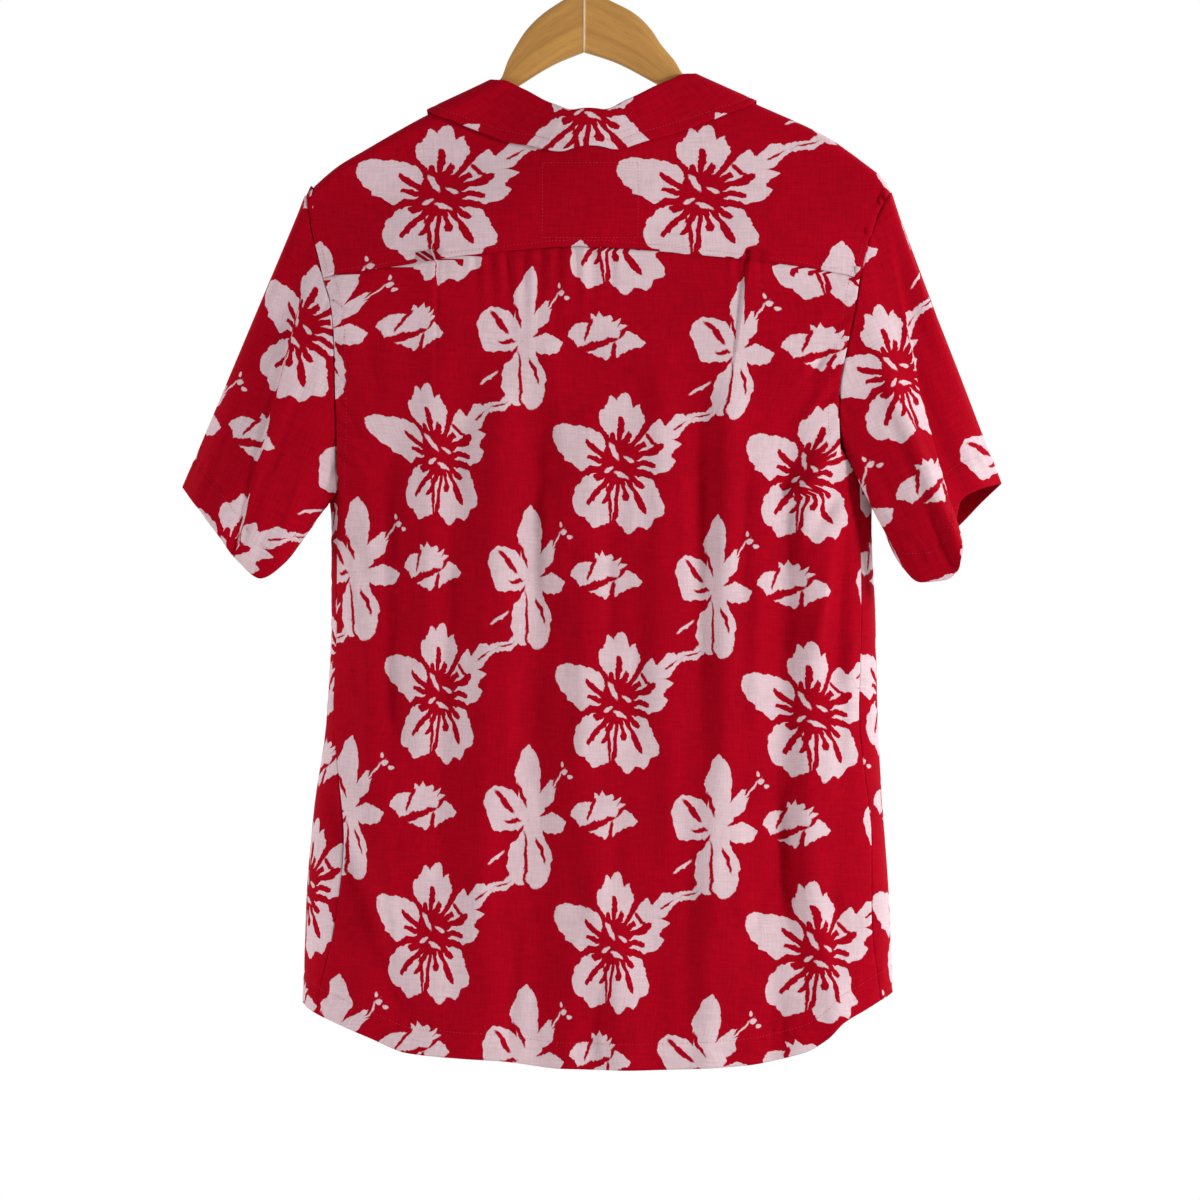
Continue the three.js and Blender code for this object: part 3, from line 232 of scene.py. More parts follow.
# Inner edges of the fronts: height, left, right
FRONT_EDGES = [
    (-165, 94.5, -101), (-172, 90, -97.5), (-197, 66, -74), (-205, 56, -66), (-246, 22, -36),
    (-298, CENTRE_FRONT - LAP + 2, CENTRE_FRONT + LAP - 2), (-320, CENTRE_FRONT - LAP, CENTRE_FRONT + LAP),
    (-920, CENTRE_FRONT - LAP, CENTRE_FRONT + LAP),
]

# Seam between yoke and back, and the hems: across, height
YOKE_SEAM = [
    (-222, -294), (-173, -285), (-133, -280), (-93, -276), (-45, -272), (11, -270), (62, -273),
    (103, -277), (139, -283), (191, -290), (210, -294),
]
BACK_HEM = [
    (-248, -862), (-224, -876), (-206, -886), (-194, -898), (-175, -909), (-125, -919), (-45, -922),
    (19, -921), (67, -915), (115, -912), (141, -909), (169, -898), (198, -886), (219, -876), (227, -868),
]
FRONT_HEM = [
    (-248, -862), (-206, -880), (-150, -896), (-60, -908), (40, -908), (130, -898), (190, -882),
    (227, -868),
]

# Long folds: top across and height, low end across and height, width, height of the fold
BACK_FOLDS = [
    (190, -400, 150, -880, 15, 5), (116, -330, 134, -700, 13, 3.5), (64, -340, 86, -960, 16, 5.5),
    (-6, -380, 4, -760, 17, 4.5), (2, -690, -42, -980, 19, 7), (-61, -330, -61, -700, 14, 4),
    (-116, -340, -100, -980, 15, 5.5), (-188, -380, -178, -800, 14, 4.5), (-174, -730, -214, -960, 14, 5),
    (150, -390, 150, -720, 14, -4), (93, -380, 118, -800, 12, -3.5), (35, -370, 40, -980, 15, -5),
    (-93, -370, -98, -720, 12, -4), (-164, -390, -150, -980, 14, -5),
]
FRONT_FOLDS = [
    (176, -380, 160, -960, 16, 5), (96, -340, 108, -980, 15, 5.5), (44, -420, 54, -960, 14, 3.5),
    (-66, -400, -76, -980, 14, 4), (-122, -340, -132, -960, 15, 5.5), (-190, -380, -182, -900, 15, 4.5),
    (136, -400, 134, -980, 14, -5), (72, -400, 80, -900, 12, -3.5), (-96, -400, -104, -980, 13, -4.5),
    (-158, -400, -158, -960, 14, -4.5),
]
FOLD_RISE = 70.0
CREASE_RISE = 28.0
FOLD_BOLDNESS = 1.4
CREASE_BOLDNESS = 2.0
GATHER_BOLDNESS = 1.1
GATHER_LEAN = 0.05
GATHER_START = 4.0

# Cloth that the folds take up: how far they are exaggerated, and where that fades on the fronts
BACK_TAKE = 1.7
FRONT_TAKE = 1.5
FRONT_TAKE_TOP = -340.0
FRONT_TAKE_FADE = 70.0
BORDER_SHARE = 0.45

# Smaller creases of the back: top, low end, width, height
BACK_CREASES = [
    (176, -330, 160, -400, 6, -1.2), (166, -318, 146, -372, 5, 1.0), (188, -470, 168, -560, 7, -1.8),
    (180, -452, 150, -520, 6, 1.4), (192, -500, 182, -610, 6, 1.5), (186, -560, 176, -640, 5, -1.2),
    (150, -640, 140, -770, 7, 1.2), (138, -500, 128, -590, 6, -1.1), (170, -700, 160, -830, 8, -1.6),
    (100, -450, 92, -560, 7, 1.2), (74, -520, 70, -640, 6, -1.0), (58, -600, 66, -720, 7, 1.3),
    (22, -450, 18, -560, 7, 1.3), (44, -690, 34, -800, 7, 1.1), (12, -560, 14, -690, 8, -1.4),
    (-20, -480, -22, -600, 7, -1.4), (-38, -400, -40, -520, 7, 1.2), (-44, -560, -36, -680, 7, -1.1),
    (-78, -430, -80, -560, 6, 1.3), (-70, -640, -66, -770, 8, 1.4), (-86, -740, -80, -860, 7, -1.3),
    (-128, -430, -124, -560, 7, -1.3), (-140, -520, -134, -660, 7, 1.2), (-122, -700, -126, -820, 8, 1.6),
    (-176, -450, -170, -540, 6, 1.3), (-206, -452, -172, -520, 7, -2.6), (-208, -464, -184, -600, 7, 2.6),
    (-198, -440, -146, -484, 6, 1.8), (-206, -480, -198, -640, 7, -2.2), (-200, -600, -194, -720, 7, 1.2),
    (-216, -560, -210, -690, 5, 1.0), (-196, -760, -204, -870, 7, -1.3), (-142, -760, -130, -860, 8, -1.3),
    (120, -780, 112, -890, 8, 1.3), (86, -820, 80, -930, 8, -1.2), (52, -800, 60, -930, 7, -1.4),
    (6, -800, 12, -930, 8, 1.3), (-18, -820, -14, -930, 7, -1.2), (-70, -830, -74, -930, 8, 1.2),
    (-200, -306, -172, -352, 4, 0.8), (-202, -340, -168, -388, 4, -1.3), (-203, -368, -164, -420, 4.5, 1.4),
    (-205, -396, -160, -452, 5, -1.6), (-207, -418, -150, -490, 6, 1.7), (198, -340, 172, -392, 4, 0.7),
    (197, -380, 168, -440, 4.5, -0.9), (197, -412, 160, -470, 5, 1.0), (198, -440, 156, -504, 6, -1.0),
    (204, -690, 140, -892, 9, -1.9), (184, -690, 118, -892, 10, 1.3), (-150, -690, -176, -880, 9, -1.4),
    (70, -650, 60, -900, 11, -1.2), (-30, -700, -6, -930, 10, -1.3), (30, -330, 8, -520, 9, 1.0),
    (-106, -800, -110, -930, 8, -1.4), (-196, -330, -176, -400, 6, -1.1), (-190, -312, -160, -350, 5, 0.9),
]

# Puckers under the yoke seam at the middle of the back: across, length, width, height
GATHERS = [
    (92, 38, 2.6, 0.9), (86, 70, 3.0, -1.2), (80, 54, 2.6, 1.3), (74, 92, 3.2, -1.3), (67, 60, 2.8, 1.4),
    (61, 110, 3.4, -1.6), (54, 78, 3.0, 1.3), (47, 64, 2.8, -1.2), (40, 120, 3.4, 1.7), (33, 84, 3.0, -1.5),
    (26, 58, 2.6, 1.2), (20, 100, 3.2, -1.4), (13, 72, 2.8, 1.3), (6, 52, 2.6, -1.1), (0, 96, 3.2, 1.4),
    (-7, 66, 2.8, -1.2), (-14, 46, 2.6, 1.0), (-21, 74, 3.0, -1.1), (-28, 40, 2.6, 0.8),
    (-122, 44, 2.6, -0.8), (-116, 60, 2.8, 0.8), (-140, 40, 2.8, -0.7), (126, 40, 2.8, -0.7),
    (110, 46, 2.8, -0.8), (150, 30, 3.0, 0.5), (-160, 34, 3.0, 0.5),
]

# Smaller creases of the fronts, like those of the back
FRONT_CREASES = [
    (170, -440, 130, -520, 7, 1.6), (182, -470, 150, -560, 6, -1.5), (186, -520, 172, -640, 7, 1.3),
    (150, -640, 140, -780, 8, 1.4), (118, -560, 110, -690, 7, -1.2), (90, -440, 84, -560, 7, 1.3),
    (62, -540, 66, -690, 7, 1.1), (30, -480, 26, -600, 6, -0.9), (34, -680, 38, -800, 7, 1.0),
    (104, -740, 112, -880, 8, 1.4), (60, -780, 58, -900, 7, -1.2), (166, -760, 160, -870, 8, -1.4),
    (-172, -430, -136, -500, 7, 1.6), (-186, -460, -156, -560, 6, -1.5), (-190, -540, -180, -660, 7, 1.2),
    (-150, -620, -144, -760, 8, 1.3), (-112, -540, -108, -680, 7, -1.3), (-84, -460, -88, -580, 7, 1.2),
    (-54, -560, -56, -690, 7, 1.0), (-44, -700, -50, -820, 7, -1.0), (-92, -760, -98, -890, 8, 1.3),
    (-168, -770, -170, -860, 8, -1.4), (150, -300, 140, -380, 7, 1.0), (-156, -300, -144, -380, 7, 1.0),
    (120, -250, 90, -330, 8, 1.2), (-124, -250, -96, -330, 8, 1.2),
]

# Knife pleats under the yoke: across at the seam, across at the low end, side that lies on top
PLEATS = [(118, 119, 1), (-131, -109, -1)]
PLEAT_LENGTH = 150.0
PLEAT_HEIGHT = 3.0
PLEAT_SPREAD = 16.0
PLEAT_EDGE = 1.2

# Cloth in each pleat and in all gathers, and how wide it has spread at their top and at their end
PLEAT_TAKE = 22.0
PLEAT_TAKE_SPREAD = (2.0, 130.0)
GATHER_TAKE = 40.0
GATHER_TAKE_SPREAD = (130.0, 260.0)
GATHER_LENGTH = 160.0
GATHER_MIDDLE = 31.0

# Stations round the neck: seam, fold and outer edge of the collar (across, height), side, lift
COLLAR = [
    (63, -197, 62, -190, 112, -236, -1, 0), (86, -174, 69, -158, 124, -200, -1, 0.4),
    (97, -147, 72.5, -134, 124, -161, 1, 2.2), (80, -156, 60, -136, 104, -168, 1, 1.2),
    (61, -166, 46, -143, 80, -178, 1, 0.4), (34, -179, 25, -154, 46, -188, 1, 0.2),
    (8, -185, 6, -159, 12, -192, 1, 0.2), (-16, -185, -14, -159, -20, -191, 1, 0.2),
    (-44, -176, -36, -150, -53, -184, 1, 0.2), (-68, -164, -58, -139, -82, -175, 1, 0.3),
    (-90, -152, -76, -131, -112, -163, 1, 0.5), (-108, -140, -87, -130, -137, -153, 1, 0.8),
    (-96, -170, -80, -154, -138, -194, -1, 0.3), (-75, -193, -74, -186, -128, -230, -1, 0),
]
FOLD_ROLL = 2.0
FALL_HEIGHT = 1.9
CAD_CLOTH = 1.2

# Lapels: roll line from its top to the break, and the outer tip
LAPELS = {
    "left": ((58, -200), (-12, -291), (98, -247)),
    "right": ((-70, -196), (-18, -269), (-112, -241)),
}
LAPEL_HEIGHT = 1.7
LAPEL_ROLL = 0.8
LAPEL_PULL = 0.35

# Direction that the sleeves hang in: outward, up
SLEEVE_AXIS = (0.42, -0.908)

# Cuffs: turn, across, depth, height
CUFFS = {
    "left": [
        (0, 321, 0, -460), (0.07, 310, 24, -474), (0.15, 292, 39, -497), (0.23, 274, 45, -520),
        (0.3, 257, 43, -533), (0.38, 240, 32, -522), (0.45, 229, 16, -508), (0.5, 225, 0, -500),
        (0.56, 231, -15, -504), (0.64, 245, -31, -514), (0.73, 262, -42, -520), (0.82, 282, -43, -508),
        (0.91, 304, -27, -482), (1, 321, 0, -460),
    ],
    "right": [
        (0, -334, -4, -457), (0.06, -318, 15, -461), (0.11, -302, 29, -471), (0.16, -300, 41, -496),
        (0.22, -299, 48, -520), (0.28, -288, 50, -534), (0.34, -268, 45, -536), (0.41, -254, 32, -524),
        (0.46, -247, 16, -512), (0.5, -244, 0, -504), (0.57, -249, -18, -506), (0.66, -260, -34, -511),
        (0.75, -278, -42, -508), (0.84, -300, -38, -492), (0.92, -319, -23, -472), (1, -334, -4, -457),
    ],
}

# Folds of the sleeves: turn, width in turns, height
SLEEVE_FOLDS = {
    "left": [(0.16, 0.045, 3.5), (0.34, 0.05, 3), (0.7, 0.06, 4)],
    "right": [(0.2, 0.04, 5), (0.11, 0.03, -3), (0.72, 0.06, 4)],
}

# Creases of the sleeves: turn and share of the length at the top, the same at the low end, width, height
SLEEVE_CREASES = {
    "left": [
        (0.20, 0.03, 0.215, 1.00, 0.016, -2.4), (0.30, 0.30, 0.33, 0.95, 0.018, 1.5),
        (0.40, 0.35, 0.36, 0.85, 0.015, -1.4), (0.46, 0.15, 0.38, 0.55, 0.014, 1.5),
        (0.22, 0.10, 0.25, 0.60, 0.016, -1.0), (0.12, 0.25, 0.14, 0.80, 0.018, 1.2),
        (0.07, 0.50, 0.09, 1.00, 0.016, -1.2), (0.26, 0.60, 0.27, 1.00, 0.014, -1.2),
        (0.62, 0.20, 0.60, 0.80, 0.018, 1.4), (0.78, 0.30, 0.76, 0.95, 0.02, -1.4),
        (0.88, 0.20, 0.86, 0.80, 0.018, 1.2),
    ],
    "right": [
        (0.19, 0.05, 0.205, 1.00, 0.03, 2.4), (0.26, 0.25, 0.27, 0.80, 0.018, 1.3),
        (0.33, 0.20, 0.31, 0.70, 0.016, -1.3), (0.42, 0.15, 0.36, 0.60, 0.015, 1.5),
        (0.46, 0.45, 0.42, 0.95, 0.014, -1.4), (0.24, 0.70, 0.25, 1.00, 0.014, -1.3),
        (0.07, 0.20, 0.08, 0.75, 0.016, 1.0), (0.62, 0.25, 0.60, 0.85, 0.018, 1.4),
        (0.80, 0.30, 0.78, 0.95, 0.02, -1.3), (0.90, 0.20, 0.88, 0.80, 0.018, 1.0),
    ],
}

# Fold edges down the back of the sleeves: turn at the armhole, turn at the cuff, depth of the step
SLEEVE_EDGES = {"left": [(0.09, 0.215, 3.6)], "right": [(0.03, 0.163, 7.0)]}
SLEEVE_EDGE_WIDTH = 0.011
SLEEVE_EDGE_SPREAD = 0.06
SLEEVE_EDGE_TAKE = 26.0

# Lengths round the cuff and the armhole, for the pitch of their ripples
CUFF_ROUND = 330.0
ARMHOLE_ROUND = 480.0

# Wood: outline of each half from the top of the mitre down the neck, then its lower edge
WOOD_NECK = {
    "left": [(0, -62), (8, -65), (18, -71), (34, -82), (46, -94), (54, -106), (61, -119), (66.5, -133)],
    "right": [(0, -62), (-9, -65), (-22, -71), (-42, -82), (-54, -94), (-62, -106), (-72, -118), (-82, -132)],
}
WOOD_LOWER = {
    "left": [(0, -112), (22, -121), (52, -139), (100, -172), (150, -200), (199, -227)],
    "right": [(0, -112), (-22, -119), (-61, -139), (-100, -160), (-150, -183), (-200, -207), (-219, -217)],
}
WOOD_ARM = {"left": (74, 196), "right": (-92, -216)}
WOOD_CLEARANCE = 1.2

# Motifs of the print on the flat cloth, in millimetres, each drawn round its own middle. The edge is
# rows of angle in degrees and radius. A vein is a red stroke out of the red heart: angle, radius of its
# tip, width. Squash is how much the height shrinks. Slits are red and marks are white ellipses: across,
# up, angle, half length, half width.
MOTIFS = [
    {
        "place": (0, 0), "heart": 18, "squash": 1.1,
        "edge": [
            (-180, 54), (-173, 40), (-166, 30), (-158, 44), (-149, 57), (-140, 60), (-131, 65), (-124, 60),
            (-116, 65), (-107, 60), (-99, 55), (-94, 45), (-88, 56), (-78, 63), (-70, 60), (-62, 67),
            (-53, 62), (-43, 66), (-34, 57), (-26, 46), (-18, 28), (-10, 42), (-3, 55), (5, 61), (11, 55),
            (18, 70), (24, 59), (31, 66), (38, 58), (46, 60), (54, 38), (61, 52), (69, 61), (76, 54),
            (84, 66), (91, 58), (98, 64), (106, 54), (113, 50), (121, 30), (129, 36), (138, 52), (147, 65),
            (156, 75), (164, 72), (172, 63), (180, 54),
        ],
        "veins": [
            (54, 80, 6), (122, 80, 7), (-166, 80, 7), (-94, 80, 5), (-18, 80, 7), (22, 50, 6), (2, 38, 6),
            (38, 34, 5), (88, 44, 6), (106, 30, 6), (72, 32, 6), (152, 40, 6), (172, 32, 5), (-130, 52, 6),
            (-150, 30, 6), (-112, 42, 4), (-56, 54, 6), (-76, 34, 5), (-38, 34, 6),
        ],
        "slits": [(-10, -36, 97, 25, 1.9), (33, 24, 128, 10, 2.2)],
        "marks": [
            (-5, 11, 122, 8, 2.5), (10, 5, -32, 6, 2.2), (-10, -5, 202, 5.5, 2.2), (4, -10, 158, 7, 2.4),
        ],
    },
    {
        "place": (112, -95), "heart": 0.5, "squash": 1.06,
        "edge": [
            (-180, 46), (-169, 43), (-158, 32), (-148, 17), (-138, 16), (-128, 31), (-118, 48), (-108, 57),
            (-98, 60), (-90, 56), (-82, 61), (-70, 58), (-60, 50), (-50, 38), (-41, 19), (-32, 17),
            (-24, 33), (-12, 43), (0, 45), (8, 37), (16, 19), (26, 18), (34, 34), (41, 45), (47, 40),
            (54, 48), (60, 35), (66, 25), (73, 41), (81, 56), (90, 64), (100, 58), (110, 45), (118, 26),
            (126, 21), (134, 34), (144, 48), (156, 54), (168, 52), (180, 46),
        ],
        "veins": [],
        "slits": [
            (-3, -36, 94, 26, 2.2), (13, -28, -60, 12, 2.2), (-27, 14, 146, 15, 3.4),
            (-18, -2, 188, 10, 2.0), (-13, -14, 222, 12, 2.2), (21, 9, 30, 12, 2.4),
            (-9, 22, 118, 12, 2.2),
        ],
        "marks": [
            (26, 28, 48, 23, 1.2), (43, 43, 47, 3.6, 3.0), (39, 50, 80, 2.8, 2.3), (50, 38, 10, 2.8, 2.3),
            (-36, -36, 28, 10, 2.2),
        ],
    },
    {
        "place": (-12, 97), "heart": 0.5, "squash": 1.0,
        "edge": [
            (-180, 33), (-168, 29), (-156, 22), (-140, 16), (-120, 14), (-100, 13), (-80, 15), (-60, 14),
            (-44, 18), (-30, 19), (-18, 25), (-6, 34), (2, 42), (12, 33), (21, 23), (30, 28), (38, 20),
            (47, 26), (57, 19), (70, 25), (82, 20), (96, 26), (108, 21), (120, 26), (131, 16), (142, 24),
            (154, 32), (166, 37), (174, 36), (180, 33),
        ],
        "veins": [],
        "slits": [
            (-8, -3, 14, 24, 3.6), (10, -9, 76, 9, 2.4), (-15, 9, 58, 10, 2.5), (20, 8, 42, 8, 2.0),
        ],
        "marks": [],
    },
    {
        "place": (72, 39), "heart": 0.5, "squash": 1.0,
        "edge": [
            (-180, 22), (-164, 30), (-152, 34), (-140, 26), (-124, 9), (-90, 4), (-40, 4), (-12, 12),
            (2, 26), (14, 31), (26, 17), (44, 7), (90, 4), (150, 6), (180, 22),
        ],
        "veins": [],
        "slits": [(-15, -7, 206, 12, 1.2), (13, 3, 12, 11, 1.1)],
        "marks": [(0, 1, 20, 32, 1.1), (33, 11, 34, 7, 2.0)],
    },
]
MOTIF_SIZE = 0.95
LARGEST_RADIUS = 80.0
VEIN_STEP = 2
EDGE_BLUR = 0.3
WIDE_WARP = (0.07, 10.0)
FINE_WARP = (0.3, 2.8)

# Colours of the print: red and white, and both where a thread is thin
RED = (0.39, 0.0003, 0.0095, 1)
RED_DEEP = (0.27, 0.0001, 0.008, 1)
WHITE = (0.68, 0.51, 0.55, 1)
WHITE_DIM = (0.55, 0.395, 0.425, 1)


# Smooth blend from a start to an end with given slopes; t is the share of the width
def blend(start, end, start_slope, end_slope, width, t):
    first = start * (1 + 2 * t) * (1 - t) ** 2 + start_slope * width * t * (1 - t) ** 2
    last = end * t * t * (3 - 2 * t) + end_slope * width * t * t * (t - 1)
    return first + last


# Smooth curve through the rows of a table, from one column to another, with no overshoot
def curve_of(rows, source, target):
    ordered = sorted(rows, key=lambda row: row[source])
    xs = np.array([row[source] for row in ordered], float)
    ys = np.array([row[target] for row in ordered], float)
    slopes = np.diff(ys) / np.diff(xs)
    product = slopes[:-1] * slopes[1:]
    total = slopes[:-1] + slopes[1:]
    inner = np.where(product > 0, 2 * product / np.where(product > 0, total, 1), 0)
    tangents = np.concatenate([[slopes[0]], inner, [slopes[-1]]])

    def value(x):
        x = np.clip(np.asarray(x, float), xs[0], xs[-1])
        i = np.clip(np.searchsorted(xs, x, side="right") - 1, 0, len(xs) - 2)
        width = xs[i + 1] - xs[i]
        return blend(ys[i], ys[i + 1], tangents[i], tangents[i + 1], width, (x - xs[i]) / width)

    return value


# Curves of a table for the left and for the right, from its second and its third column
def curve_pair(rows):
    return {"left": curve_of(rows, 0, 1), "right": curve_of(rows, 0, 2)}


# Smooth curve through points at given places, by the slopes between their neighbours
def smooth_through(places, points, wanted):
    slopes = np.gradient(points, places, axis=0)
    i = np.clip(np.searchsorted(places, wanted, side="right") - 1, 0, len(places) - 2)
    width = (places[i + 1] - places[i])[:, None]
    t = (wanted - places[i])[:, None] / width
    return blend(points[i], points[i + 1], slopes[i], slopes[i + 1], width, t)


def smooth(t):
    c = np.clip(t, 0, 1)
    return c * c * (3 - 2 * c)


def mix(a, b, t):
    return a + (b - a) * t


# Bell curve that is 1 at no distance
def bell(distance, width):
    return np.exp(-((distance / width) ** 2))


# Points or flat places from their parts
def stacked(*parts):
    return np.stack(np.broadcast_arrays(*parts), axis=-1)


# Length along a line of points, counted from its first
def line_length(points):
    return np.concatenate([[0], np.cumsum(np.linalg.norm(np.diff(points, axis=0), axis=1))])


ridge = curve_of(RIDGE, 0, 1)
outline = curve_pair(SECTIONS)
back_depth = curve_of(SECTIONS, 0, 3)
front_depth = curve_of(SECTIONS, 0, 4)
yoke_seam = curve_of(YOKE_SEAM, 0, 1)
back_hem = curve_of(BACK_HEM, 0, 1)
front_hem = curve_of(FRONT_HEM, 0, 1)
back_edge = curve_pair(BACK_EDGES)
front_armhole = curve_pair(FRONT_ARMHOLES)
front_edge = curve_pair(FRONT_EDGES)


# Height of folds or creases that run from a top to a low end and fade at both
def fold_height(folds, x, z, rise):
    height = np.zeros(np.broadcast(x, z).shape)
    for top_x, top_z, low_x, low_z, width, high in folds:
        centre = mix(top_x, low_x, (top_z - z) / (top_z - low_z))
        strength = smooth((top_z - z) / rise) * smooth((z - low_z) / rise)
        height += high * strength * bell(x - centre, width)
    return height


# Step of the knife pleats: cloth on one side of each edge stands proud of the other
def pleat_height(x, z):
    height = np.zeros(np.broadcast(x, z).shape)
    for top_x, low_x, over in PLEATS:
        below = (yoke_seam(x) - z) / PLEAT_LENGTH
        past = (x - mix(top_x, low_x, below)) * over
        fall = bell(np.maximum(past, 0), PLEAT_SPREAD)
        height += PLEAT_HEIGHT * (1 - smooth(below)) * smooth(past / PLEAT_EDGE + 0.5) * fall
    return height


# Gathers under the yoke seam, which lean a little to uneven sides
def gather_height(x, z):
    below = yoke_seam(x) - z
    height = np.zeros(np.broadcast(x, z).shape)
    for across, length, width, high in GATHERS:
        lean = across + below * GATHER_LEAN * math.sin(across)
        fade = (1 - smooth(below / length)) * smooth(below / GATHER_START + 0.4)
        height += GATHER_BOLDNESS * high * fade * bell(x - lean, width)
    return height


# Middle and half width of the body at a height
def section(z):
    left, right = outline["left"](z), outline["right"](z)
    return (left + right) / 2, (left - right) / 2


# Depth of the hanging body: a hairpin over the hanger that opens into a rounded section
def body_depth(x, z, side):
    middle, half = section(z)
    reach = np.minimum(np.abs(x - middle) / half, 1)
    full = np.where(side > 0, back_depth(z), front_depth(z))
    opened = full * (1 - reach**SQUARENESS) ** (1 / SQUARENESS)
    drop = np.maximum(ridge(x) - z, 0)
    hairpin = SHOULDER_RADIUS * np.sqrt(1 - (1 - np.minimum(drop / SHOULDER_RADIUS, 1)) ** 2)
    settled = smooth(drop / SHOULDER_FALL)
    back = FOLD_BOLDNESS * fold_height(BACK_FOLDS, x, z, FOLD_RISE)
    back += CREASE_BOLDNESS * fold_height(BACK_CREASES, x, z, CREASE_RISE)
    front = fold_height(FRONT_FOLDS, x, z, FOLD_RISE)
    front += CREASE_BOLDNESS * fold_height(FRONT_CREASES, x, z, CREASE_RISE)
    folds = np.where(side > 0, back, front) * np.minimum(opened / full * SECTION_FADE, 1)
    return mix(hairpin, opened, settled) + folds * settled


# A run is a distance down from the shoulder line, more than 0 on the back and less than 0 on the front
def drop_of(run):
    length = np.abs(run)
    curved = SHOULDER_RADIUS * (1 - np.cos(np.minimum(length, SHOULDER_ARC) / SHOULDER_RADIUS))
    return np.where(length < SHOULDER_ARC, curved, SHOULDER_RADIUS + length - SHOULDER_ARC)


def run_of(x, z, side):
    drop = np.maximum(ridge(x) - z, 0)
    curved = SHOULDER_RADIUS * np.arccos(1 - np.minimum(drop, SHOULDER_RADIUS) / SHOULDER_RADIUS)
    straight = drop - SHOULDER_RADIUS + SHOULDER_ARC
    return side * np.where(drop < SHOULDER_RADIUS, curved, straight)


def shoulder_place(x, run):
    z = ridge(x) - drop_of(run)
    side = np.where(run < 0, -1, 1)
    return stacked(x, side * body_depth(x, z, side), z)


# A place on the body, by its turn round it: 0 at the left side, a quarter at the middle of the back
def body_place(turn, z):
    angle = turn * 2 * math.pi
    middle, half = section(z)
    x = middle + half * np.cos(angle)
    side = np.where(np.sin(angle) >= 0, 1, -1)
    level = np.where(np.abs(np.sin(angle)) < 1e-9, 0, body_depth(x, z, side))
    return stacked(x, side * level, z)


def turn_of(x, z, side):
    middle, half = section(z)
    reach = np.clip((x - middle) / half, -1, 1)
    return side * np.arccos(reach) / (2 * math.pi)


# Height at which a line across the body meets a turn
def height_on(line, turn, start):
    z = np.zeros_like(np.asarray(turn, float)) + start
    for _ in range(6):
        z = line(body_place(turn, z)[..., 0])
    return z


# Height at which a line across the body meets the side of the back panel, looked for from a start
def side_height(line, hand, start):
    return float(height_on(line, turn_of(back_edge[hand](start), start, 1), start))


# Place on an armhole's edge at a drop below the shoulder line, as (across, height, side)
def at_drop(edge, drop, side):
    z = ARMHOLE_TOP
    for _ in range(40):
        z = mix(z, ridge(edge(z)) - drop, 0.4)
    return (float(edge(z)), float(z), side)


# Nodes of one armhole, as rows of (across, height, side), and the round of its bottom as (turn, height)
def armhole(hand):
    column = 1 if hand == "left" else 2
    edge_back, edge_front = back_edge[hand], front_armhole[hand]
    seam_z = side_height(yoke_seam, hand, YOKE_SEAM_SIDE)
    front_seam = at_drop(edge_front, FRONT_YOKE_DROP, -1)
    down_back = np.linspace(seam_z, UNDERARM[hand], ARMHOLE_NODES)
    down_front = np.linspace(front_seam[1], FRONT_UNDERARM[hand], ARMHOLE_NODES)
    back = [(float(edge_back(z)), z, 1) for z in down_back]
    front = [(float(edge_front(z)), z, -1) for z in down_front]
    side_turn = 0 if hand == "left" else 0.5
    bottom = []
    for row in ARMHOLE_BOTTOM:
        end = front[-1] if row[0] < 0 else back[-1]
        away = float(turn_of(end[0], end[1], 1)) - side_turn
        bottom.append((side_turn + away * row[0], row[column]))
    back_runs = [*SHOULDER_RUNS, BACK_RUN]
    yoke_back = [at_drop(edge_back, float(drop_of(run)), 1) for run in back_runs] + [back[0]]
    yoke_front = [at_drop(edge_front, float(drop_of(run)), -1) for run in SHOULDER_RUNS] + [front_seam]
    return {"yoke_back": yoke_back, "yoke_front": yoke_front, "back": back, "front": front, "bottom": bottom}


ARMHOLES = {"left": armhole("left"), "right": armhole("right")}


# Outward unit normals of a grid of points; facing turns them over
def grid_normals(points, facing):
    along_a = np.gradient(points, axis=0)
    along_b = np.gradient(points, axis=1)
    normals = np.cross(along_a, along_b) * facing
    return normals / np.maximum(np.linalg.norm(normals, axis=-1, keepdims=True), 1e-9)


# Normals of a grid whose columns run round a tube
def loop_normals(points, facing):
    padded = np.concatenate([points[:, -1:], points, points[:, :1]], axis=1)
    return grid_normals(padded, facing)[:, 1:-1]


# Length along one axis of a grid, counted from its first row or column. Stretch exaggerates its folds,
# and level leaves the heights out.
def grid_length(points, axis, stretch=1.0, level=False):
    step = np.diff(points, axis=axis)
    step[..., 1] *= stretch
    step[..., 2] *= 0 if level else 1
    length = np.cumsum(np.linalg.norm(step, axis=-1), axis=axis)
    zero = np.zeros_like(np.take(length, [0], axis=axis))
    return np.concatenate([zero, length], axis=axis)


# Length along each row of a grid where it crosses the middle of the body
def length_at_middle(x, length):
    return np.array([np.interp(0, *row) for row in zip(-x, length)])[:, None]


# The four corners of each face of a grid; facing turns the faces over
def face_corners(grid, facing):
    corners = [grid[:-1, :-1], grid[1:, :-1], grid[1:, 1:], grid[:-1, 1:]]
    return np.stack(corners[::facing], axis=2)


# Faces of a tube made of rings of vertices, with both ends closed
def ring_faces(rings, sides):
    faces = []
    for r in range(rings - 1):
        for k in range(sides):
            a, b = r * sides + k, r * sides + (k + 1) % sides
            faces.append((a, b, b + sides, a + sides))
    last = (rings - 1) * sides
    return faces + [tuple(range(sides))[::-1], tuple(range(last, last + sides))]


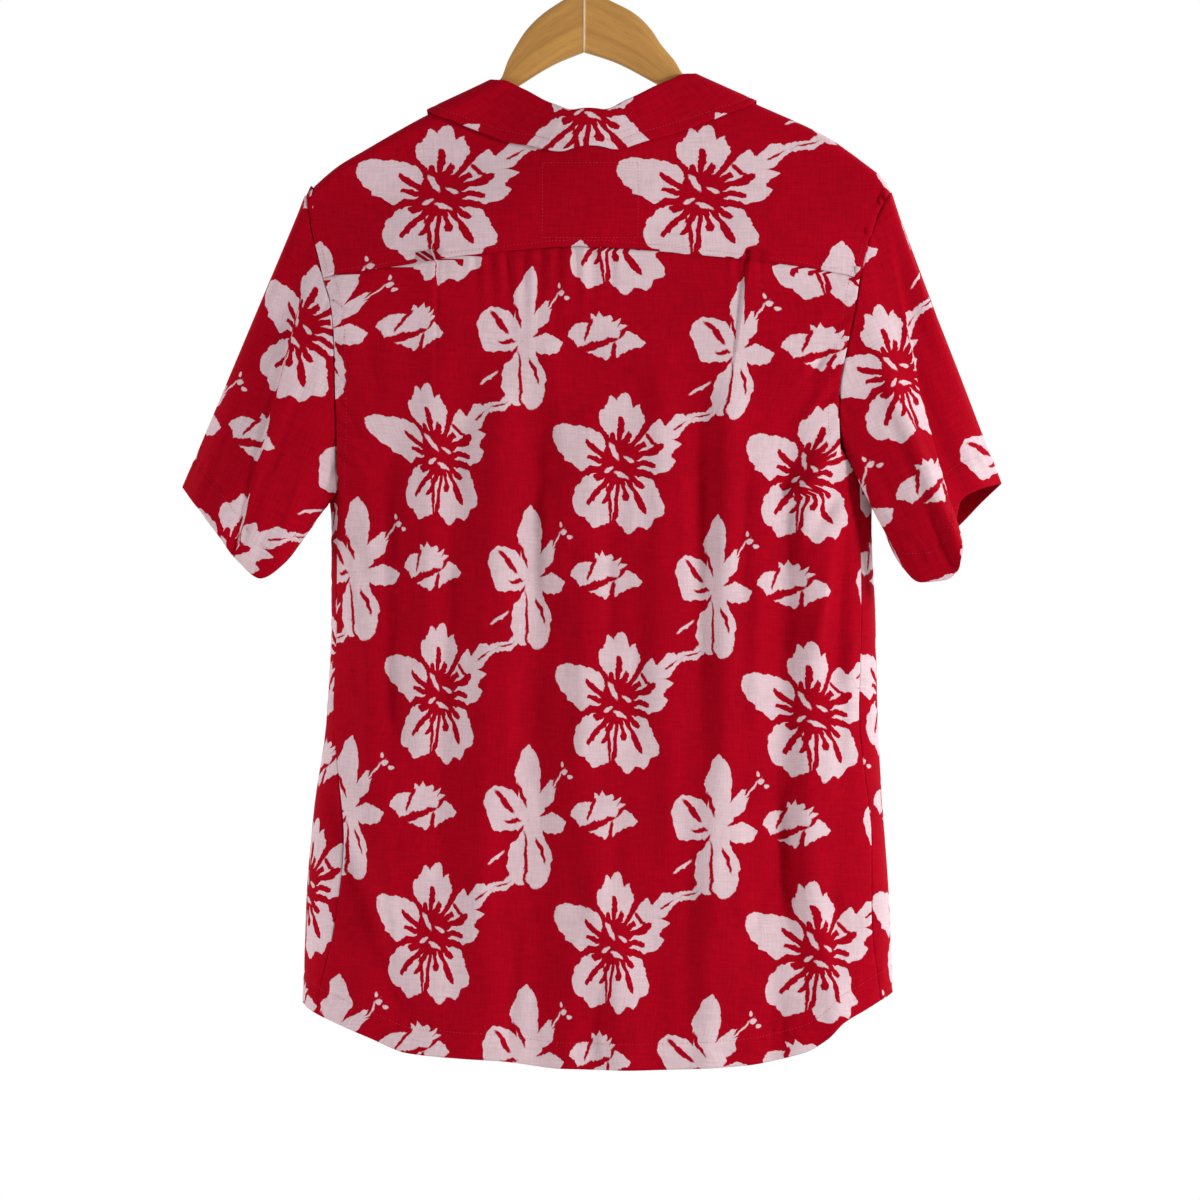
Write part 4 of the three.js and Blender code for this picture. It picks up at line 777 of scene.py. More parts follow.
# A smooth piece of the part; vertices are in millimetres, and spots are each corner's place on a material
def add_piece(name, vertices, faces, materials, spots=None, spots_name=None):
    mesh = bpy.data.meshes.new(name)
    mesh.from_pydata((np.asarray(vertices).reshape(-1, 3) * MM).tolist(), [], faces)
    if spots is not None:
        layer = mesh.uv_layers.new(name=spots_name)
        layer.data.foreach_set("uv", (spots * MM).astype(np.float32).ravel())
    for material in materials:
        mesh.materials.append(material)
    mesh.shade_smooth()
    piece = bpy.data.objects.new(name, mesh)
    bpy.context.collection.objects.link(piece)
    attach(piece, "root")
    return piece


# A piece of cloth from a grid of points and its places on the flat cloth
def cloth_piece(name, points, flat, facing, materials, closed=False, thickness=CLOTH_THICKNESS):
    rows, columns = points.shape[:2]
    ids = np.arange(rows * columns).reshape(rows, columns)
    if closed:
        ids = np.concatenate([ids, ids[:, :1]], axis=1)
        flat = np.concatenate([flat, flat[:, -1:] * 2 - flat[:, -2:-1]], axis=1)
    faces = face_corners(ids, facing).reshape(-1, 4).tolist()
    piece = add_piece(name, points, faces, materials, face_corners(flat, facing), "Cloth")
    wall = piece.modifiers.new("Wall", "SOLIDIFY")
    wall.thickness = thickness * MM
    wall.offset = -1
    wall.use_even_offset = False
    wall.material_offset = 1
    wall.material_offset_rim = 0
    return piece


# Row of stitches along a line of points that lies on the cloth, each stitch a small lens
def stitch_line(name, points, normals, material):
    along = line_length(points)
    count = max(int(along[-1] / STITCH_PITCH), 1)
    sample = lambda s, table: np.array([np.interp(s, along, table[:, k]) for k in range(3)])
    vertices, faces = [], []
    for middle in (np.arange(count) + 0.5) * along[-1] / count:
        a = sample(middle - STITCH_LENGTH / 2, points)
        b = sample(middle + STITCH_LENGTH / 2, points)
        up = sample(middle, normals)
        up = up / np.linalg.norm(up)
        across = np.cross(b - a, up)
        across = across / np.linalg.norm(across) * STITCH_WIDTH / 2
        centre = (a + b) / 2
        low = centre - up * STITCH_DEPTH
        high = centre + up * STITCH_WIDTH * 0.75
        base = len(vertices)
        vertices += [a - up * STITCH_SINK, b - up * STITCH_SINK, centre + across, centre - across, high, low]
        faces += [[base + k for k in trio] for trio in STITCH_FACES]
    return add_piece(name, vertices, faces, [material])


# Uneven ripple from -1 to 1 along a length in millimetres, the same on every run
def ripple(along, pitch, seed):
    turns = along * 2 * math.pi / pitch
    return (np.sin(turns + seed) + np.sin(turns * 1.37 + seed * 2.3) + np.sin(turns * 0.61 + seed * 3.1)) / 3


# Raised band of a turned-up hem, pulled in at its stitching; distance is counted from the edge
def hem_height(distance, along, band, seed):
    raised = HEM_RISE * smooth((band - distance) / 2 + 0.5)
    pulled = -HEM_PULL * bell(distance - band, HEM_PULL_REACH)
    near = bell(distance - band, HEM_RIPPLE_REACH)
    return raised + pulled + HEM_RIPPLE * near * ripple(along, HEM_RIPPLE_PITCH, seed)


# Puckers that run off a seam; distance is counted from the seam
def seam_pucker(distance, along, seam, seed):
    high, reach, pitch = PUCKERS[seam]
    return high * bell(distance, reach) * ripple(along, pitch, seed)


# Share of a height that is left towards the two sides of a grid, down to the least at the side itself
def side_fade(across, least):
    return np.minimum(np.minimum(across, 1 - across) * SIDE_STEEPNESS + least, 1)


# Values from 0 to 1 with steps of the given sizes in each stretch of a length
def uneven_steps(stretches):
    stops = [0.0]
    for length, step in stretches:
        count = max(int(round(length / step)), 1)
        stops += list(stops[-1] + np.linspace(0, length, count + 1)[1:])
    return np.array(stops) / stops[-1]


# Moves the flat cloth so that a big blossom of the print lies at its place on the piece
def place_print(points, flat, node):
    away = np.linalg.norm(points - np.array(BLOSSOMS[node], float), axis=-1)
    row, column = np.unravel_index(np.argmin(away), away.shape)
    return flat - flat[row, column]


# Grid of the back on the body: its shares across, the heights of its top and its hem, and its points
def back_grid():
    left, right = ARMHOLES["left"]["back"], ARMHOLES["right"]["back"]
    down = uneven_steps(BACK_ROWS)[:, None]
    across = uneven_steps(BACK_COLUMNS)[None, :]
    z_left = mix(left[0][1], side_height(back_hem, "left", SIDE_SEAM_END), down)
    z_right = mix(right[0][1], side_height(back_hem, "right", SIDE_SEAM_END), down)
    turn_left = turn_of(back_edge["left"](z_left), z_left, 1) + SEAM_TURN
    turn_right = turn_of(back_edge["right"](z_right), z_right, 1) - SEAM_TURN
    top = height_on(yoke_seam, mix(turn_left[:1], turn_right[:1], across), YOKE_SEAM_LEVEL)
    low = height_on(back_hem, mix(turn_left[-1:], turn_right[-1:], across), HEM_LEVEL)
    z = mix(top, low, down) - (1 - down) * SEAM_GAP / 2
    return across, top, low, body_place(mix(turn_left, turn_right, across), z)


# Cloth taken up by the pleats and the gathers of the back
def back_take_up(x, below):
    taken = np.zeros_like(x)
    for top_x, low_x, _ in PLEATS:
        spread = mix(*PLEAT_TAKE_SPREAD, smooth(below / PLEAT_LENGTH))
        centre = mix(top_x, low_x, below / PLEAT_LENGTH)
        taken += PLEAT_TAKE * smooth((x - centre) / spread + 0.5)
    spread = mix(*GATHER_TAKE_SPREAD, smooth(below / GATHER_LENGTH))
    return taken + GATHER_TAKE * smooth((x - GATHER_MIDDLE) / spread + 0.5)


# The back: between the yoke seam, the armholes, the side seams and the hem
def make_back():
    across, top, low, points = back_grid()
    x, z = points[..., 0], points[..., 2]
    height = pleat_height(x, z) + gather_height(x, z)
    height += hem_height(z - low, x, HEM_BAND, 1.0)
    height += seam_pucker(top - z, x, "back_top", 2.0)
    armpit = smooth((z - UNDERARM["right"]) / 20 + 0.5)
    for edge, seed in ((x[:, :1], 3.0), (x[:, -1:], 4.0)):
        distance = np.abs(x - edge)
        height += seam_pucker(distance, z + 0.8 * distance, "armhole", seed) * (0.25 + 0.75 * armpit)
    points[..., 1] += height * side_fade(across, 0.35)
    length = grid_length(points, 1, BACK_TAKE, level=True)
    flat = stacked(length - length_at_middle(x, length) - back_take_up(x, top - z), z - GRAIN_TILT * x)
    return points, place_print(points, flat, "back")


# Turns of the right front run on past half way round, so that they don't jump at the side
def around(hand, turn):
    return np.where((hand == "right") & (turn < 0), turn + 1, turn)


# Outer border of a front, as rows of (turn, height): armhole, its bottom and the side seam
def front_border(hand):
    low = side_height(back_hem, hand, SIDE_SEAM_END)
    seam = [(float(back_edge[hand](z)), z, 1) for z in np.linspace(UNDERARM[hand], low, SIDE_SEAM_NODES)]
    turned = lambda rows: [(float(around(hand, turn_of(x, z, side))), z) for x, z, side in rows]
    return np.array(turned(ARMHOLES[hand]["front"]) + ARMHOLES[hand]["bottom"] + turned(seam))


# Grid of a front on the body: its shares across, its hem and its points
def front_grid(hand):
    border = front_border(hand)
    last = len(border) - 1
    level = np.linspace(0, last, last * FRONT_ROWS + 1)
    edge_turn, edge_z = [np.interp(level, range(last + 1), border[:, k])[:, None] for k in (0, 1)]
    across = np.linspace(0, 1, FRONT_COLUMNS)[None, :]
    down = (level / last)[:, None]
    yoke_line = lambda x: ridge(x) - FRONT_YOKE_DROP - FRONT_SEAM_EASE
    top_x = float(front_edge[hand](NECK_TOP))
    low_x = float(front_edge[hand](HEM_LEVEL))
    top_turn = float(around(hand, turn_of(top_x, yoke_line(top_x), -1)))
    low_turn = float(around(hand, turn_of(low_x, front_hem(low_x), -1)))
    top = height_on(yoke_line, mix(edge_turn[0], top_turn, across), ARMHOLE_TOP)
    hem_turn = mix(edge_turn[-1], low_turn, across)
    hem_behind = height_on(back_hem, hem_turn, HEM_LEVEL)
    hem_before = height_on(front_hem, hem_turn, HEM_LEVEL)
    hem = np.where(np.sin(hem_turn * 2 * math.pi) > 0, hem_behind, hem_before)
    z_inner = mix(float(yoke_line(top_x)), float(front_hem(low_x)), down)
    turn_inner = around(hand, turn_of(front_edge[hand](z_inner), z_inner, -1))
    off_edge = edge_z - mix(top[:, :1], hem[:, :1], down)
    z = mix(top, hem, down) + off_edge * (1 - smooth(across / BORDER_SHARE)) - (1 - down) * SEAM_GAP / 2
    return across, hem, body_place(mix(edge_turn - SIGN[hand] * SEAM_TURN, turn_inner, across), z)


# One front: from its armhole and side seam to the neck and the button edge
def make_front(hand):
    sign = SIGN[hand]
    across, hem, points = front_grid(hand)
    x, z = points[..., 0], points[..., 2]
    if hand == "right":
        points[..., 1] += UNDERLAP_DEPTH * smooth((x - CENTRE_FRONT + LAP + UNDERLAP_RAMP) / UNDERLAP_RAMP)
    facing = grid_normals(points, -sign)
    height = hem_height(z - hem, x, HEM_BAND, 5.0)
    distance = np.abs(x - x[:, -1:])
    height += PLACKET_RISE * smooth((PLACKET - distance) / 2 + 0.5)
    height -= PLACKET_PULL * bell(distance - PLACKET, 2)
    height += seam_pucker(np.abs(x - x[:, :1]), z, "front", 6.0)
    points = points + facing * (height * side_fade(across, 0.3))[..., None]
    stretch = FRONT_TAKE * (1 - smooth((z[:, 1:] - FRONT_TAKE_TOP) / FRONT_TAKE_FADE))
    length = grid_length(points, 1, stretch, level=True)
    centre = length_at_middle(x * sign, length) + np.maximum(x[:, -1:] * sign, 0)
    flat = stacked(-(length - centre) * sign, z)
    return points, place_print(points, flat, "front_" + hand)


# Smooth curves of the collar's stations: places across and runs of the neck, the fold and the edge
def station_curves():
    rows = []
    for number, (*spots, side, lift) in enumerate(COLLAR):
        row = [number]
        for x, z in zip(spots[0::2], spots[1::2]):
            row += [x, float(run_of(x, z, side))]
        rows.append((*row, lift))
    names = ["neck_x", "neck_run", "fold_x", "fold_run", "edge_x", "edge_run", "lift"]
    return {name: curve_of(rows, 0, column) for column, name in enumerate(names, 1)}


STATION = station_curves()
LAST_STATION = len(COLLAR) - 1


# The collar's neck, fold or edge at a station, as a place across and a run
def station_line(name, s):
    return stacked(STATION[name + "_x"](s), STATION[name + "_run"](s))


# The station between two others at which the neck seam has a given run
def station_at_run(run, start, end):
    low, high = start, end
    for _ in range(40):
        middle = (low + high) / 2
        if (STATION["neck_run"](middle) - run) * (STATION["neck_run"](high) - run) > 0:
            high = middle
        else:
            low = middle
    return low


# A point near the shoulders, lifted off them along their normal
def lifted(spot, lift):
    x, run = spot[..., 0], spot[..., 1]
    near = 0.3
    along_x = shoulder_place(x + near, run) - shoulder_place(x - near, run)
    along_run = shoulder_place(x, run + near) - shoulder_place(x, run - near)
    normal = np.cross(along_x, along_run)
    normal /= np.linalg.norm(normal, axis=-1, keepdims=True)
    return shoulder_place(x, run) + normal * np.asarray(lift)[..., None]


# Rows of the collar from the neck seam to its edge: way off the fold, distance that way, height over the
# shoulders and length along the cloth from the fold
def collar_rows(s, stand, fall, to_neck, to_edge):
    rows = []
    for part in (1, 0.75, 0.5, 0.25):
        along = np.maximum(stand * part, FOLD_ROLL + 0.5 + part)
        rows.append((to_neck, along, -CAD_CLOTH, -along))
    centre = FOLD_ROLL - CAD_CLOTH
    for degrees in range(-90, 91, 20):
        beta = math.radians(degrees)
        reach = FOLD_ROLL - FOLD_ROLL * math.cos(beta)
        rise = centre + FOLD_ROLL * math.sin(beta)
        rows.append((to_neck if degrees < 0 else to_edge, reach, rise, FOLD_ROLL * beta))
    for part in np.linspace(0.12, 1, FALL_ROWS):
        height = mix(centre + FOLD_ROLL, FALL_HEIGHT, part) + STATION["lift"](s) * part
        height = height - COLLAR_PULL * bell(fall * (1 - part) - COLLAR_STITCH, 1.8)
        rippled = COLLAR_RIPPLE * ripple(s * STATION_LENGTH, COLLAR_RIPPLE_PITCH, part * 3)
        height = height + rippled * smooth(part * 2) * (1 - part * 0.5)
        rows.append((to_edge, fall * part, height, fall * part + FOLD_ROLL))
    return rows


# The collar: up the stand, round the fold and down the fall; also the line of its stitches
def make_collar():
    s = np.linspace(0, LAST_STATION, COLLAR_COLUMNS)
    neck, fold, edge = [station_line(name, s) for name in ("neck", "fold", "edge")]
    stand = np.linalg.norm(neck - fold, axis=-1)
    fall = np.linalg.norm(edge - fold, axis=-1)
    to_neck = (neck - fold) / stand[:, None]
    to_edge = (edge - fold) / fall[:, None]
    columns, distances = [], []
    for direction, along, height, distance in collar_rows(s, stand, fall, to_neck, to_edge):
        away = np.broadcast_to(along, s.shape)[:, None]
        columns.append(lifted(fold + direction * away, height))
        distances.append(np.broadcast_to(distance, s.shape))
    round_neck = line_length(edge * 0.5 + fold * 0.5)
    middle = np.interp(LAST_STATION / 2, s, round_neck)
    flat = stacked((round_neck - middle)[:, None], -np.stack(distances, axis=1))
    stitched = fold + to_edge * np.maximum(fall - COLLAR_STITCH, 4)[:, None]
    line = lifted(stitched, FALL_HEIGHT + STATION["lift"](s) * 0.9 + 0.1)
    return np.stack(columns, axis=1), flat, line


# Nodes of the yoke's outer edge, as (across, height, side), each with the station of the neck beside it
def yoke_pairs():
    front_x = COLLAR[1][0]
    front_run = float(run_of(front_x, ridge(front_x) - FRONT_YOKE_DROP, -1))
    fronts = [-run for run in SHOULDER_RUNS] + [front_run]
    backs = [*SHOULDER_RUNS, NECK_BACK_RUN, BACK_RUN]
    right = LAST_STATION - 2
    left_front = [station_at_run(run, 2, 0) for run in fronts]
    left_back = [station_at_run(run, 2, 6) for run in backs]
    right_front = [station_at_run(run, right, LAST_STATION) for run in fronts]
    right_back = [station_at_run(run, right, right - 4) for run in backs]
    middle = list(np.linspace(left_back[-1], right_back[-1], YOKE_SEAM_NODES))
    ends = [ARMHOLES[hand]["back"][0][0] for hand in ("left", "right")]
    seam = [(x, float(yoke_seam(x)), 1) for x in np.linspace(*ends, YOKE_SEAM_NODES)]
    return [
        *list(zip(ARMHOLES["left"]["yoke_front"], left_front))[::-1][:-1],
        *list(zip(ARMHOLES["left"]["yoke_back"], left_back))[:-1],
        *zip(seam, middle),
        *list(zip(ARMHOLES["right"]["yoke_back"], right_back))[::-1][1:],
        *list(zip(ARMHOLES["right"]["yoke_front"], right_front))[1:],
    ]


# The yoke: a horseshoe from the neck seam out to the front seams, the armholes and the back seam
def make_yoke():
    pairs = yoke_pairs()
    outer = np.array([(node[0], float(run_of(*node))) for node, _ in pairs])
    stations = np.array([s for _, s in pairs])
    last = len(pairs) - 1
    level = np.linspace(0, last, last * YOKE_ROWS + 1)
    outer = np.stack([np.interp(level, range(last + 1), outer[:, k]) for k in (0, 1)], axis=-1)
    neck = station_line("neck", np.interp(level, range(last + 1), stations))
    length = np.linalg.norm(neck - outer, axis=-1)[:, None]
    part = mix(SEAM_GAP / length, 1 - SEAM_GAP / 2 / length, np.linspace(0, 1, YOKE_COLUMNS)[None, :])
    at = neck[:, None] + (outer - neck)[:, None] * part[..., None]
    seam_distance = length * (1 - part)
    lift = seam_pucker(seam_distance, at[..., 0] + at[..., 1], "yoke", 7.0)
    lift = lift - YOKE_PULL * bell(seam_distance - YOKE_STITCH, 1.6)
    points = lifted(at, lift * smooth(seam_distance / 2))
    flat = stacked(-at[..., 0], ridge(at[..., 0]) - at[..., 1])
    return points, place_print(points, flat, "yoke")


# One lapel, turned back on its front along the roll line
def make_lapel(hand):
    top, low, tip = [np.array([x, float(run_of(x, z, -1))]) for x, z in LAPELS[hand]]
    t = np.linspace(0, 1, LAPEL_GRID[0])[:, None, None]
    c = np.linspace(0, 1, LAPEL_GRID[1])[None, :, None]
    at = mix(mix(top, low, t), mix(tip, low, t * 0.9), c)
    from_edge, down = 1 - c[..., 0], t[..., 0]
    lift = LAPEL_HEIGHT + from_edge * LAPEL_ROLL - LAPEL_PULL * bell(from_edge * 60 * (1 - down) - 5, 2)
    return lifted(at, lift), at


# Direction across a sleeve, square to its axis and in the plane of the hanger
def across_axis(axis):
    return np.array([-axis[2], 0, axis[0]])


# Points round an armhole, down the back and up the front, with the turn of each; the first and the last
# few run on past a whole turn
def armhole_loop(hand):
    hole = ARMHOLES[hand]
    on_shoulder = lambda rows: [shoulder_place(x, float(run_of(x, z, side))) for x, z, side in rows]
    on_body = lambda rows: [body_place(turn_of(x, z, side), z) for x, z, side in rows]
    back_half = on_shoulder(hole["yoke_back"]) + on_body(hole["back"][1:])
    front_half = on_shoulder(hole["yoke_front"]) + on_body(hole["front"][1:])
    bottom = [body_place(turn, z) for turn, z in hole["bottom"]][::-1]
    loop = np.array(back_half + bottom + front_half[1:][::-1])
    lengths = np.linalg.norm(np.roll(loop, -1, axis=0) - loop, axis=1)
    half = len(back_half) + len(bottom) // 2
    back_length, front_length = lengths[:half].sum(), lengths[half:].sum()
    ends = np.concatenate([[0], np.cumsum(lengths)])
    down_back = 0.5 * ends / back_length
    up_front = 0.5 + 0.5 * (ends - back_length) / front_length
    turns = np.where(np.arange(len(loop) + 1) <= half, down_back, up_front)
    places = np.concatenate([turns[-4:-1] - 1, turns, turns[1:4] + 1])
    return places, np.concatenate([loop[-3:], loop, loop[:4]])


# Heights of a sleeve's creases and fold edges, and the cloth that the edges take up
def sleeve_folds(hand, turn, share):
    height = 0
    for top_turn, top_share, low_turn, low_share, width, high in SLEEVE_CREASES[hand]:
        along = (share - top_share) / (low_share - top_share)
        fade = smooth(along * 3) * np.where(low_share < 1, smooth((1 - along) * 3), 1)
        height = height + high * fade * bell(turn - mix(top_turn, low_turn, along), width)
    taken = 0
    for top_turn, low_turn, deep in SLEEVE_EDGES[hand]:
        past = mix(top_turn, low_turn, share) - turn
        over = smooth(past / SLEEVE_EDGE_WIDTH + 0.5)
        near = bell(np.maximum(past, 0), SLEEVE_EDGE_SPREAD)
        height = height - deep * over * near * smooth(share * 2.5)
        taken = taken + SLEEVE_EDGE_TAKE * over * smooth(share * 2.5)
    return height, taken


# One sleeve: a tube from the armhole to the cuff
def make_sleeve(hand):
    sign = SIGN[hand]
    turn = np.arange(SLEEVE_COLUMNS) / SLEEVE_COLUMNS
    start = smooth_through(*armhole_loop(hand), turn)
    cuff = np.stack([curve_of(CUFFS[hand], 0, k)(turn) for k in (1, 2, 3)], axis=-1)
    step = uneven_steps(SLEEVE_ROWS)[:, None, None]
    distance = np.linalg.norm(cuff - start, axis=-1)[None, :, None]
    points = mix(start, cuff, mix(SEAM_GAP / distance, 1, step))
    turn, share, distance = turn[None, :], step[..., 0], distance[..., 0]
    ease = UNDERARM_EASE * bell(turn - 0.5, UNDERARM_EASE_WIDTH)
    points[..., 0] += sign * (SEAM_GAP + SLEEVE_SEAM_EASE + ease) * (1 - share)
    for fold_turn, width, height in SLEEVE_FOLDS[hand]:
        near = bell(turn - fold_turn, width)
        points[..., 1] += np.sign(points[..., 1]) * height * near * smooth(share * 1.5)
    normals = loop_normals(points, sign)
    height, taken = sleeve_folds(hand, turn, share)
    height = height + hem_height(distance * (1 - share), turn * CUFF_ROUND, SLEEVE_BAND, 8.0)
    height = height + seam_pucker(distance * share, turn * ARMHOLE_ROUND, "sleeve", 9.0)
    points = points + normals * height[..., None]
    axis = np.array([sign * SLEEVE_AXIS[0], 0, SLEEVE_AXIS[1]])
    along_axis = points @ axis
    round_it = grid_length(points - along_axis[..., None] * axis, 1)
    back = SLEEVE_COLUMNS // 4
    u = round_it - round_it[:, back][:, None] - (points[:, back] @ (sign * across_axis(axis)))[:, None]
    flat = stacked(sign * (u - taken), -along_axis)
    return points, place_print(points, flat, "sleeve_" + hand)


# Small helper that adds shader nodes and joins them up
class Shader:
    def __init__(self, tree):
        self.tree = tree

    def add(self, kind, inputs=None, **settings):
        node = self.tree.nodes.new(kind)
        for name, value in settings.items():
            setattr(node, name, value)
        for key, value in (inputs or {}).items():
            self.put(node.inputs[key], value)
        return node

    def put(self, socket, value):
        if isinstance(value, bpy.types.NodeSocket):
            self.tree.links.new(value, socket)
        else:
            socket.default_value = value

    def math(self, operation, *values):
        return self.add("ShaderNodeMath", dict(enumerate(values)), operation=operation).outputs[0]

    def vector(self, operation, *values):
        node = self.add("ShaderNodeVectorMath", dict(enumerate(values)), operation=operation)
        return node.outputs["Value" if operation == "LENGTH" else "Vector"]

    def object_place(self):
        return self.add("ShaderNodeTexCoord").outputs["Object"]

    def scaled(self, place, scale):
        return self.add("ShaderNodeMapping", {"Vector": place, "Scale": scale}).outputs[0]

    def streaks(self, place, scale, detail=2.0, rough=0.5):
        return self.noise(self.scaled(place, scale), 1.0, detail, rough)

    def noise(self, place, scale, detail=2.0, rough=0.5, output="Fac"):
        values = {"Vector": place, "Scale": scale, "Detail": detail, "Roughness": rough}
        return self.add("ShaderNodeTexNoise", values).outputs[output]

    def spread(self, value, low, high, to_low=0.0, to_high=1.0):
        values = {"Value": value, "From Min": low, "From Max": high, "To Min": to_low, "To Max": to_high}
        return self.add("ShaderNodeMapRange", values).outputs[0]

    def bump(self, height, strength, distance):
        values = {"Height": height, "Strength": strength, "Distance": distance}
        return self.add("ShaderNodeBump", values).outputs[0]

    def mix_colour(self, factor, a, b):
        node = self.add("ShaderNodeMix", data_type="RGBA")
        self.put(node.inputs["Factor"], factor)
        self.put(node.inputs["A"], a)
        self.put(node.inputs["B"], b)
        return node.outputs["Result"]

    # Ends a material with a surface that has these inputs
    def finish(self, inputs):
        surface = self.add("ShaderNodeBsdfPrincipled", inputs)
        self.add("ShaderNodeOutputMaterial", {"Surface": surface.outputs[0]})


# A new material and its empty shader
def new_material(name):
    material = bpy.data.materials.new(name)
    material.use_nodes = True
    material.node_tree.nodes.clear()
    return material, Shader(material.node_tree)


# Nearest of a list of ellipses, about in millimetres and less than 0 inside
def nearest(shader, place, ellipses):
    result = None
    for across, up, angle, long, wide in ellipses:
        values = {
            "Vector": place,
            "Location": (across, up, 0),
            "Rotation": (0, 0, math.radians(angle)),
            "Scale": (long, wide, 1e6),
        }
        local = shader.add("ShaderNodeMapping", values, vector_type="TEXTURE").outputs[0]
        reach = shader.vector("LENGTH", local)
        distance = shader.math("MULTIPLY_ADD", reach, wide, -wide)
        result = distance if result is None else shader.math("MINIMUM", result, distance)
    return result


# Radius in millimetres by angle, from rows of degrees and radius
def polar_curve(shader, angle, rows):
    node = shader.add("ShaderNodeFloatCurve", {"Value": angle})
    curve = node.mapping.curves[0]
    rows = [(degrees / 360 + 0.5, radius / LARGEST_RADIUS) for degrees, radius in rows]
    curve.points[0].location = rows[0]
    curve.points[1].location = rows[-1]
    for row in rows[1:-1]:
        curve.points.new(*row)
    for point in curve.points:
        point.handle_type = "VECTOR"
    node.mapping.update()
    return shader.math("MULTIPLY", node.outputs[0], LARGEST_RADIUS)


# Rows of the red heart and its veins, from one side of the circle round to the other
def heart_rows(motif):
    rows = []
    for degrees in range(-180, 181, VEIN_STEP):
        reach = motif["heart"]
        for angle, tip, width in motif["veins"]:
            away = math.radians(min(abs((degrees - angle + 180) % 360 - 180), 90))
            inside = width / 2 / max(math.sin(away), width / 2 / tip)
            reach = max(reach, inside)
        rows.append((degrees, reach))
    return rows


# Print of one motif, about in millimetres and more than 0 where the cloth is white
def motif_white(shader, start, motif):
    high = (REPEAT_WIDE / 2, REPEAT_HIGH / 2, 500)
    low = tuple(-value for value in high)
    moved = shader.vector("SUBTRACT", start, (*motif["place"], 0))
    local = shader.vector("WRAP", moved, high, low)
    warped = shader.vector("MULTIPLY", local, (1 / MOTIF_SIZE, motif["squash"] / MOTIF_SIZE, 1))
    for scale, size in (WIDE_WARP, FINE_WARP):
        wobble = shader.vector("SUBTRACT", shader.noise(local, scale, 1.0, 0.5, "Color"), (0.5, 0.5, 0.5))
        warped = shader.vector("ADD", warped, shader.vector("MULTIPLY", wobble, (size, size, 0)))
    parts = shader.add("ShaderNodeSeparateXYZ", {"Vector": warped})
    turn = shader.math("ARCTAN2", parts.outputs["Y"], parts.outputs["X"])
    angle = shader.math("MULTIPLY_ADD", turn, 1 / (2 * math.pi), 0.5)
    radius = shader.vector("LENGTH", warped)
    inside = shader.math("SUBTRACT", polar_curve(shader, angle, motif["edge"]), radius)
    outside = shader.math("SUBTRACT", radius, polar_curve(shader, angle, heart_rows(motif)))
    white = shader.math("MINIMUM", inside, outside)
    white = shader.math("MINIMUM", white, nearest(shader, warped, motif["slits"]))
    if motif["marks"]:
        marks = shader.math("MULTIPLY", nearest(shader, warped, motif["marks"]), -1)
        white = shader.math("MAXIMUM", white, marks)
    return white


# Node group of the print: from a place on the flat cloth in millimetres to 1 where the cloth is white
def print_group():
    group = bpy.data.node_groups.new("HibiscusPrint", "ShaderNodeTree")
    group.interface.new_socket("Place", in_out="INPUT", socket_type="NodeSocketVector")
    group.interface.new_socket("White", in_out="OUTPUT", socket_type="NodeSocketFloat")
    shader = Shader(group)
    start = shader.add("NodeGroupInput").outputs[0]
    mask = None
    for motif in MOTIFS:
        white = motif_white(shader, start, motif)
        mask = white if mask is None else shader.math("MAXIMUM", mask, white)
    shader.add("NodeGroupOutput", {0: shader.spread(mask, -EDGE_BLUR, EDGE_BLUR)})
    return group


# Printed plain-weave cloth; wrong is the inner side, where the print shows through faintly
def cloth_material(name, group, wrong=False):
    material, shader = new_material(name)
    uv = shader.add("ShaderNodeUVMap", uv_map="Cloth").outputs[0]
    place = shader.scaled(uv, (1000, 1000, 1))
    printed = shader.add("ShaderNodeGroup", node_tree=group)
    shader.put(printed.inputs[0], place)
    white = printed.outputs[0]
    weft = shader.streaks(place, (0.12, 1.9, 1), 2.0, 0.6)
    warp = shader.streaks(place, (1.9, 0.10, 1), 2.0, 0.6)
    threads = shader.math("ADD", weft, warp)
    thick_weft = shader.streaks(place, (0.05, 0.62, 1), 1.0)
    thick_warp = shader.streaks(place, (0.7, 0.045, 1), 1.0)
    slubs = shader.math("ADD", thick_weft, thick_warp)
    tone = shader.spread(shader.math("ADD", threads, slubs), 1.55, 2.45)
    red = shader.mix_colour(tone, RED_DEEP, RED)
    pale = shader.mix_colour(tone, WHITE_DIM, WHITE)
    if wrong:
        white = shader.math("MULTIPLY", white, SHOW_THROUGH)
    colour = shader.mix_colour(white, red, pale)
    shade = shader.spread(shader.noise(place, 0.02), 0.3, 0.7, 0.94, 1.04)
    shader.finish({
        "Base Color": shader.add("ShaderNodeHueSaturation", {"Color": colour, "Value": shade}).outputs[0],
        "Roughness": shader.spread(weft, 0.3, 0.7, 0.74, 0.88),
        "Normal": shader.bump(threads, 0.35, 0.0004),
        "Specular IOR Level": 0.03,
    })
    return material


# Sewing thread, a little lighter than the cloth and twisted
def thread_material():
    material, shader = new_material("RedThread")
    twist = shader.noise(shader.object_place(), 1800.0, 1.0)
    shader.finish({
        "Base Color": shader.mix_colour(twist, (0.36, 0.004, 0.02, 1), (0.56, 0.02, 0.05, 1)),
        "Normal": shader.bump(twist, 0.3, 0.0002),
        "Roughness": 0.6,
    })
    return material


